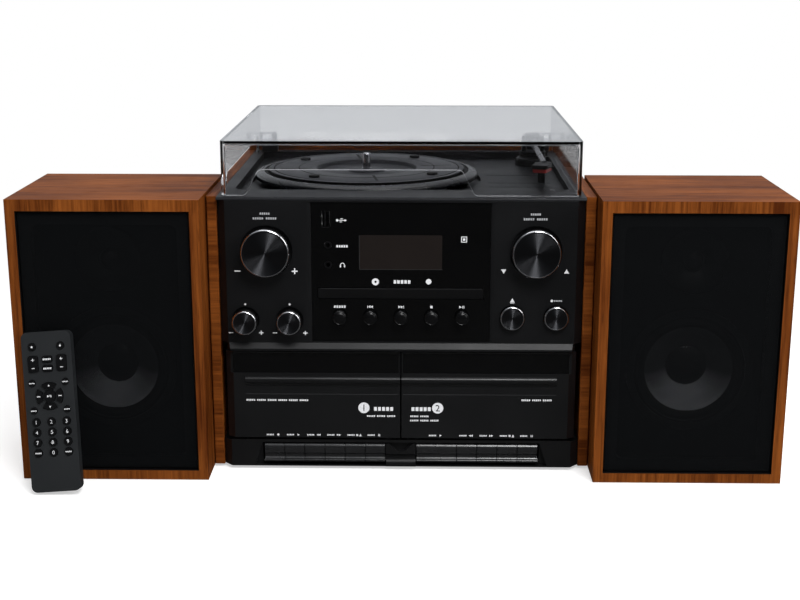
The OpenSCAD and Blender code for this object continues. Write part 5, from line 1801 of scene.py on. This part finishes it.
@dataclass
class Loudspeaker(SubAssembly):
    """One loudspeaker: box, grille, both drive units and the terminals behind."""

    side: str
    half: float = 69.6
    low: float = 8.4
    high: float = 228.1
    face: float = 3.0
    frame_t: float = 8.0
    baffle: float = 14.0
    woofer_z: float = 94.0
    tweeter_z: float = 186.0
    depth: float = 130.0
    middle_z: float = 118.25
    cloth_t: float = 0.5
    turned_back: float = 6.75

    @property
    def name(self) -> str:
        """The loudspeaker's body, with which its nodes' names begin."""
        return f"{self.side}_speaker"

    def local(self) -> LocalFrame:
        """Returns the loudspeaker's frame: its middle sideways, and its front edge."""
        low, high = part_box(f"{self.name}_cabinet")
        return LocalFrame(Matrix.Translation(((low.x + high.x) / 2 / MM, low.y / MM, 0)))

    def build(self) -> None:
        """Dresses the box and makes everything in and on it."""
        veneer = Veneer(f"{self.side.capitalize()} speaker veneer", Slot.WOOD, Grain.SPEAKER,
                        self.metres(0.0, self.depth / 2, self.middle_z))
        self.dress(f"{self.name}_cabinet", veneer, 0.5)
        self.dress(f"{self.name}_woofer_frame", DOORS, 0.2)
        self.cone()
        self.tweeter()
        self.grille()
        self.cloth()
        self.terminals()

    def cone(self) -> None:
        """Cone: dust cap, flared paper, rolled surround, and the same from behind."""
        cap = [(0, 9.4), (4, 9.6), (8, 10.4), (12, 11.7), (14, 12.8), (16, 14.6), (17, 15.2)]
        paper = [(22, 11.9), (27, 8.8), (32, 5.9), (36.4, 3.4)]
        surround = [(37.6, 1.6), (38.6, 0.8), (40.0, 0.3), (41.2, 0.3), (42.6, 0.8), (43.4, 1.3),
                    (44.6, 0.0), (46, 0), (46, 1.2), (44.8, 1.7)]
        behind = [(42.2, 1.7), (40.8, 1.4), (39.8, 1.5), (38.4, 2.8), (37.4, 4.4), (17.4, 16.8),
                  (12, 19.4), (12, 26), (11, 26), (11, 18.4), (0, 18.4)]
        profile = cap + paper + surround + behind
        looks = [0] * 6 + [1] * len(paper) + [2] * len(surround) + [1] * len(behind)
        centre = self.metres(0.0, self.baffle, self.woofer_z)
        shape = turned(profile, (0, self.baffle, self.woofer_z), Axis.BACK, 128, looks)
        self.piece(f"{self.name}_cone", shape,
                   [DOME, Pulp(f"Cone paper {self.side}", Slot.CONE, centre), RUBBER], self.name,
                   replaces=f"{self.name}_woofer_cone")

    def tweeter(self) -> None:
        """Dome on an arc of a circle, its surround, a shallow horn and the flange."""
        dome = [(0, -0.6), (1.6, -0.5), (3.2, -0.15), (4.4, 0.3), (5.8, 1.1), (7.0, 2.1),
                (7.8, 3.2)]
        horn = [(8.4, 4.6), (9, 5), (10, 4.6), (12, 3.4), (15, 2.1), (18, 1.2), (22, 0.4),
                (26.4, 0.4), (27, 0.7), (27, 2.9), (15.6, 2.9), (15.6, 20), (0, 20)]
        looks = [0] * len(dome) + [1]
        shape = turned(dome + horn, (0, self.baffle, self.tweeter_z), Axis.BACK, 96, looks)
        self.piece(f"{self.name}_tweeter_unit", shape, [DOME, DOORS], self.name,
                   replaces=f"{self.name}_tweeter")

    def grille(self) -> None:
        """Frame of the grille, with a peg at each corner."""
        inner = self.half - 0.6
        outer = rounded(-inner, self.low + 0.6, inner, self.high - 0.6, 2.4)
        hole = rounded(-inner + 10.4, self.low + 11, inner - 10.4, self.high - 11, 5)
        front, back, tip = self.face + 0.6, self.face + self.frame_t, self.baffle + 4
        rings = [(outer, front), (hole, front), (hole, back), (outer, back)]
        parts = [surface(np.stack([upright(*ring) for ring in rings]), True, True)]
        peg = [(0, back - 1), (3, back - 1), (3, tip - 0.6), (2.4, tip), (0, tip)]
        for x in (-1, 1):
            for z in (self.low + 6, self.high - 6):
                parts.append(turned(peg, (x * (self.half - 6), 0, z), Axis.BACK, 32))
        self.piece(f"{self.name}_grille_frame", Shape.joined(parts), [DOORS], self.name, 0.3,
                   f"{self.name}_grille")

    def cloth_rings(self) -> tuple[list[tuple[float, float]], list[tuple[float, float]]]:
        """Draws the cloth's section, from the middle over a quarter circle to the turned-back edge.

        Returns:
            Insets and depths of the outside, and those of the inside on the way back.
        """
        a = np.linspace(0, math.pi / 2, 5)
        over = [(2.0 * (1 - math.sin(t)), self.face + 2.0 * (1 - math.cos(t))) for t in a]
        outside = [(14.0, self.face), (6.0, self.face)] + over
        outside += [(0.0, self.face + 5), (0.0, self.face + 7.6)]
        back, t = self.face + self.cloth_t, self.cloth_t
        under = [(t + 1.5 * (1 - math.sin(b)), back + 1.5 * (1 - math.cos(b))) for b in a[::-1]]
        return outside, [(t, back + 7.1), (t, back + 4.5)] + under + [(6.0, back), (14.0, back)]

    def cloth(self) -> None:
        """Stretches the cloth over the frame, made of rings of the outline.

        A ring is the outline drawn in by an inset at a depth y. Outside the flat face, the weave's
        coordinates go on by the length that the cloth has turned, along the outline's own outward
        direction.
        """
        outside, inside = self.cloth_rings()
        middle = np.array([0.0, (self.low + self.high) / 2])
        rings, weave = [], []
        for inset, y in outside + inside:
            loop = rounded(-self.half + inset, self.low + inset, self.half - inset,
                           self.high - inset, max(2.6 - inset, 0.6))
            rings.append(upright(loop, y))
            gone = max(y - self.face - (self.cloth_t if (inset, y) in inside else 0.0), 0.0)
            off = loop - middle
            sides = np.abs(off) / (self.half - inset, (self.high - self.low) / 2 - inset)
            out = np.where(sides >= sides.max(axis=1, keepdims=True) - 1e-6, np.sign(off), 0)
            weave.append((loop + out * gone) * MM)
        shape = surface(np.stack(rings), close_columns=True)
        count, last = len(rings[0]), len(shape.points)
        shape.faces += [tuple(range(count)), tuple(range(last - count, last))]
        shape.looks += [0, 0]
        shape.uv, shape.uv_name = np.concatenate(weave), CLOTH_UV
        thing = self.piece(f"{self.name}_grille_cloth", shape, [CLOTH], self.name)

    def terminals(self) -> None:
        """Spring levers of the two terminals, and discs of painted shade for the holes under them.
        """
        parts, y = [], self.depth - 1
        for x, look in ((-9, 0), (9, 1)):
            lever = rounded(x - 3.6, 59, x + 3.6, 68, 1.0)
            parts.append(pushed(lever, y - 0.2, y + 0.8, Axis.BACK).look(look))
            # Painted shade: a dark disc where each hole is.
            parts.append(pushed(disc(x, 54.5, 1.5), y - 0.2, y + 0.05, Axis.BACK).look(2))
        self.piece(f"{self.name}_terminal_levers", Shape.joined(parts), [RED_BODY, DOORS, DARK_INK_AND_SHADE],
                   self.name, 0.2)


# ------------------------------------------------------------------ remote control


@dataclass
class RemoteControl(SubAssembly):
    """The loose remote control that leans on the left loudspeaker, with the signs on its keys."""

    x: float = -279.5
    width: float = 40.5
    length: float = 131.0
    thick: float = 9.0
    corner: float = 5.0
    lean: float = math.radians(12.8)
    tilt: float = math.radians(4.0)
    gap: float = 0.3
    key_out: float = 1.0
    digit: float = 3.0
    column: float = 12.4
    row: float = 8.4
    first_row: float = 73.5
    ring_at: float = 52.6
    ring_r: float = 8.7

    def local(self) -> LocalFrame:
        """Lays the remote flat against y = 0 with its foot at z = 0.

        Returns:
            The frame, tilted in its own plane, lifted onto the floor and leant on the grille.
        """
        lift = (self.width / 2 - self.corner) * math.sin(self.tilt)
        lift += self.corner * (1 - math.cos(self.tilt))
        top = 2 * lift + self.length * math.cos(self.tilt)
        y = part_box("left_speaker_grille")[0].y / MM - self.gap - top * math.sin(self.lean)
        place = LocalFrame(Matrix.Translation((self.x, y, 0))).turned(-self.lean, "X")
        return place.shifted(0, 0, lift).turned(-self.tilt, "Y")

    def build(self) -> None:
        """Dresses the shell and the keys, and prints their signs and digits."""
        self.dress("remote_shell", SHELL, 0.8, 3)
        self.dress("remote_keypad", KEYPAD, 0.35)
        y, top = -self.thick - self.key_out, self.length
        ring, last = top - self.ring_at, top - self.first_row - 3 * self.row
        loops = []
        for x in (-11.6, 11.6):
            loops += Icon.DOT.loops(x, top - 12, 1.6)
            loops += Icon.PLUS.loops(x, top - 22.6, 2.4) + Icon.MINUS.loops(x, top - 29.4, 2.4)
        loops += Icon.WORD.row([(0, top - down, 1.6) for down in (22.5, 30.0)])
        loops += Icon.WORD.row([(x, top - down, 1.1) for down in (41.5, 64) for x in (-13.6, 13.6)])
        loops += Icon.PLAY_PAUSE.loops(0, ring, 1.9) + Icon.UP.loops(0, ring + self.ring_r, 1.7)
        loops += Icon.DOWN.loops(0, ring - self.ring_r, 1.7)
        loops += Icon.PREVIOUS.loops(-self.ring_r, ring, 1.3)
        loops += Icon.NEXT.loops(self.ring_r, ring, 1.3)
        loops += Icon.WORD.row([(x, last, 1.2) for x in (-self.column, self.column)])
        self.printed("remote_signs", loops, y, PALE, "remote")
        first = top - self.first_row
        places = [(3 * row + col + 1, (col - 1) * self.column, first - self.row * row)
                  for row in range(3) for col in range(3)] + [(0, 0, last)]
        digits = [numeral(str(n), self.digit, x, z, y + 0.02, 0.07) for n, x, z in places]
        self.piece("remote_digits", Shape.joined(digits), [PALE], "remote")


# ------------------------------------------------------------------ studio


def place_object(name: str, data: bpy.types.ID) -> bpy.types.Object:
    """Returns a new object for a camera, lamp or mesh, linked into the scene."""
    holder = bpy.data.objects.new(name, data)
    bpy.context.scene.collection.objects.link(holder)
    return holder


@dataclass
class Studio:
    """Floor, lamps, backdrop and the camera at the photograph's viewing angle.

    The room is what a shiny surface shows of the dark side, and rear, above, right and left are how
    brightly it shows the backdrop in those directions.
    """

    lens: float = 60.35
    sensor: float = 36.0
    place: Point = (0.01821, -1.18849, 0.42843)
    dip: float = 0.2533
    roll: float = 0.01754
    aim: Point = (0.0, 0.0, 0.12)
    room: float = 0.04
    rear: float = 0.60
    above: float = 0.60
    right: float = 0.45
    left: float = 0.12
    ambient: float = 0.42
    cool: Colour = (0.91, 0.95, 1.0)
    floor_half: float = 6.0
    floor_grey: Colour = (0.75, 0.75, 0.75)
    floor_glow: float = 0.5
    floor_dimmed: float = 0.94
    floor_under: float = 0.0005

    def build(self) -> None:
        """Sets up everything that isn't the object."""
        bpy.context.scene.view_settings.view_transform = "Standard"
        self.camera()
        self.backdrop()
        self.floor()
        self.lamp("key", (0.45, -1.20, 1.70), 0.7, 26.0)
        self.lamp("fill", (1.60, -0.90, 1.10), 1.0, 10.0)
        self.lamp("top", (0.0, 0.35, 1.90), 1.6, 13.0)

    def camera(self) -> None:
        """Camera recovered from the object's straight edges."""
        lens = bpy.data.cameras.new("camera")
        lens.lens, lens.sensor_width, lens.clip_end = self.lens, self.sensor, 50.0
        holder = place_object("camera", lens)
        holder.location = self.place
        holder.rotation_euler = (math.pi / 2 - self.dip, 0.0, self.roll)
        bpy.context.scene.camera = holder

    def lamp(self, name: str, place: Point, size: float, power: float) -> None:
        """Soft square lamp that looks at the middle of the set.

        Args:
            name: Its name.
            place: Where it hangs, in metres.
            size: The length of its sides in metres.
            power: Its watts.
        """
        light = bpy.data.lights.new(name, "AREA")
        light.shape, light.size, light.energy = "SQUARE", size, power
        holder = place_object(name, light)
        holder.location = place
        aim = Vector(self.aim) - holder.location
        holder.rotation_euler = aim.to_track_quat("-Z", "Y").to_euler()

    @staticmethod
    def seen(w: Wiring, mirrored: Input) -> Socket:
        """Shares out how much of the white surroundings each kind of ray shows.

        Args:
            w: The tree to wire in.
            mirrored: How much of them a glossy ray shows in its own direction.

        Returns:
            1 for camera rays and what they see through clear pieces, that share for rays that met a
            shiny surface, and 0 for those that met a matt one.
        """
        path = w.put("ShaderNodeLightPath").outputs
        keen = w.math("LESS_THAN", path["Diffuse Depth"], 0.5)
        bounces = w.math("ADD", path["Diffuse Depth"], path["Glossy Depth"])
        through = w.math("MULTIPLY", path["Is Transmission Ray"], w.math("LESS_THAN", bounces, 0.5))
        shiny = w.math("MULTIPLY", w.math("MULTIPLY", path["Is Glossy Ray"], keen), mirrored)
        return w.math("MAXIMUM", w.math("MAXIMUM", path["Is Camera Ray"], through), shiny)

    def mirrored(self, w: Wiring) -> Socket:
        """Wires how brightly each direction of the backdrop is mirrored.

        Args:
            w: The world's wiring.

        Returns:
            The largest of the shares for behind, above, right and left.
        """
        towards = w.parts(w.put("ShaderNodeTexCoord").outputs["Generated"])
        ahead = w.math("MAXIMUM", w.remap(towards[1], -0.1, 0.5, self.room, self.rear),
                       w.remap(towards[2], 0.55, 0.9, 0.0, self.above))
        sides = w.math("MAXIMUM", w.remap(towards[0], 0.72, 0.95, 0.0, self.right),
                       w.remap(towards[0], -0.72, -0.95, 0.0, self.left))
        return w.math("MAXIMUM", ahead, sides)

    def backdrop(self) -> None:
        """White backdrop, mirrored by direction, and soft grey light on what is matt."""
        world = bpy.data.worlds.new("backdrop")
        w = cleared(world)
        mirrored = self.mirrored(w)
        path = w.put("ShaderNodeLightPath").outputs
        sharp = w.math("MAXIMUM", path["Is Glossy Ray"], path["Is Transmission Ray"])
        sharp = w.math("MULTIPLY", sharp, w.math("LESS_THAN", path["Diffuse Depth"], 0.5))
        sharp = w.math("MAXIMUM", sharp, path["Is Camera Ray"])
        matt = w.math("MULTIPLY", w.math("SUBTRACT", 1.0, sharp), self.ambient)
        strength = w.math("MAXIMUM", self.seen(w, mirrored), matt)
        tint = w.mix(path["Is Glossy Ray"], (1.0, 1.0, 1.0), self.cool)
        ground = w.put("ShaderNodeBackground", {"Color": tint, "Strength": strength})
        w.feed(w.put("ShaderNodeOutputWorld").inputs["Surface"], ground.outputs[0])
        bpy.context.scene.world = world

    def floor_finish(self) -> bpy.types.Material:
        """Wires the floor: matt near the object, glowing white far from it, and mirrored dimly.

        Returns:
            The floor's material.
        """
        made = bpy.data.materials.new("Pale floor")
        w = cleared(made)
        at = w.place()
        seen = self.seen(w, w.remap(w.parts(at)[1], -0.2, 0.6, self.room, self.rear))
        reach = w.put("ShaderNodeVectorMath", {0: at}, operation="LENGTH").outputs["Value"]
        part = w.math("MULTIPLY", seen, self.floor_glow)
        glow = w.put("ShaderNodeEmission", {"Color": (1, 1, 1), "Strength": part})
        glossy = w.put("ShaderNodeLightPath").outputs["Is Glossy Ray"]
        dimmed = w.math("MULTIPLY", glossy, self.floor_dimmed)
        matt = w.put("ShaderNodeBsdfDiffuse", {"Color": w.mix(dimmed, self.floor_grey, (0, 0, 0))})
        near = w.put("ShaderNodeAddShader", {0: glow.outputs[0], 1: matt.outputs[0]})
        white = w.put("ShaderNodeEmission", {"Color": (1, 1, 1), "Strength": seen})
        faded = w.math("MULTIPLY", w.math("GREATER_THAN", seen, 0.0), w.remap(reach, 0.42, 1.0))
        both = w.put("ShaderNodeMixShader", {0: faded, 1: near.outputs[0], 2: white.outputs[0]})
        w.feed(w.put("ShaderNodeOutputMaterial").inputs["Surface"], both.outputs[0])
        return made

    def floor(self) -> None:
        """Pale floor that keeps the object's shadow and fades to the white backdrop."""
        mesh, s = bpy.data.meshes.new("floor"), self.floor_half
        mesh.from_pydata([(-s, -s, 0), (s, -s, 0), (s, s, 0), (-s, s, 0)], [], [(0, 1, 2, 3)])
        mesh.materials.append(self.floor_finish())
        ground = place_object("floor", mesh)
        ground.location.z = -self.floor_under


def main() -> None:
    """Builds every sub-assembly around the frame, in order."""
    logging.basicConfig(level=logging.INFO, format="%(message)s")
    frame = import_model()
    Studio().build()
    for kind in (Cabinet, FrontPanel, CassetteDeck, RecordPlayer, Lid):
        kind(frame).build()
    for side in ("left", "right"):
        Loudspeaker(frame, side).build()
    RemoteControl(frame).build()


if __name__ == "__main__":
    main()
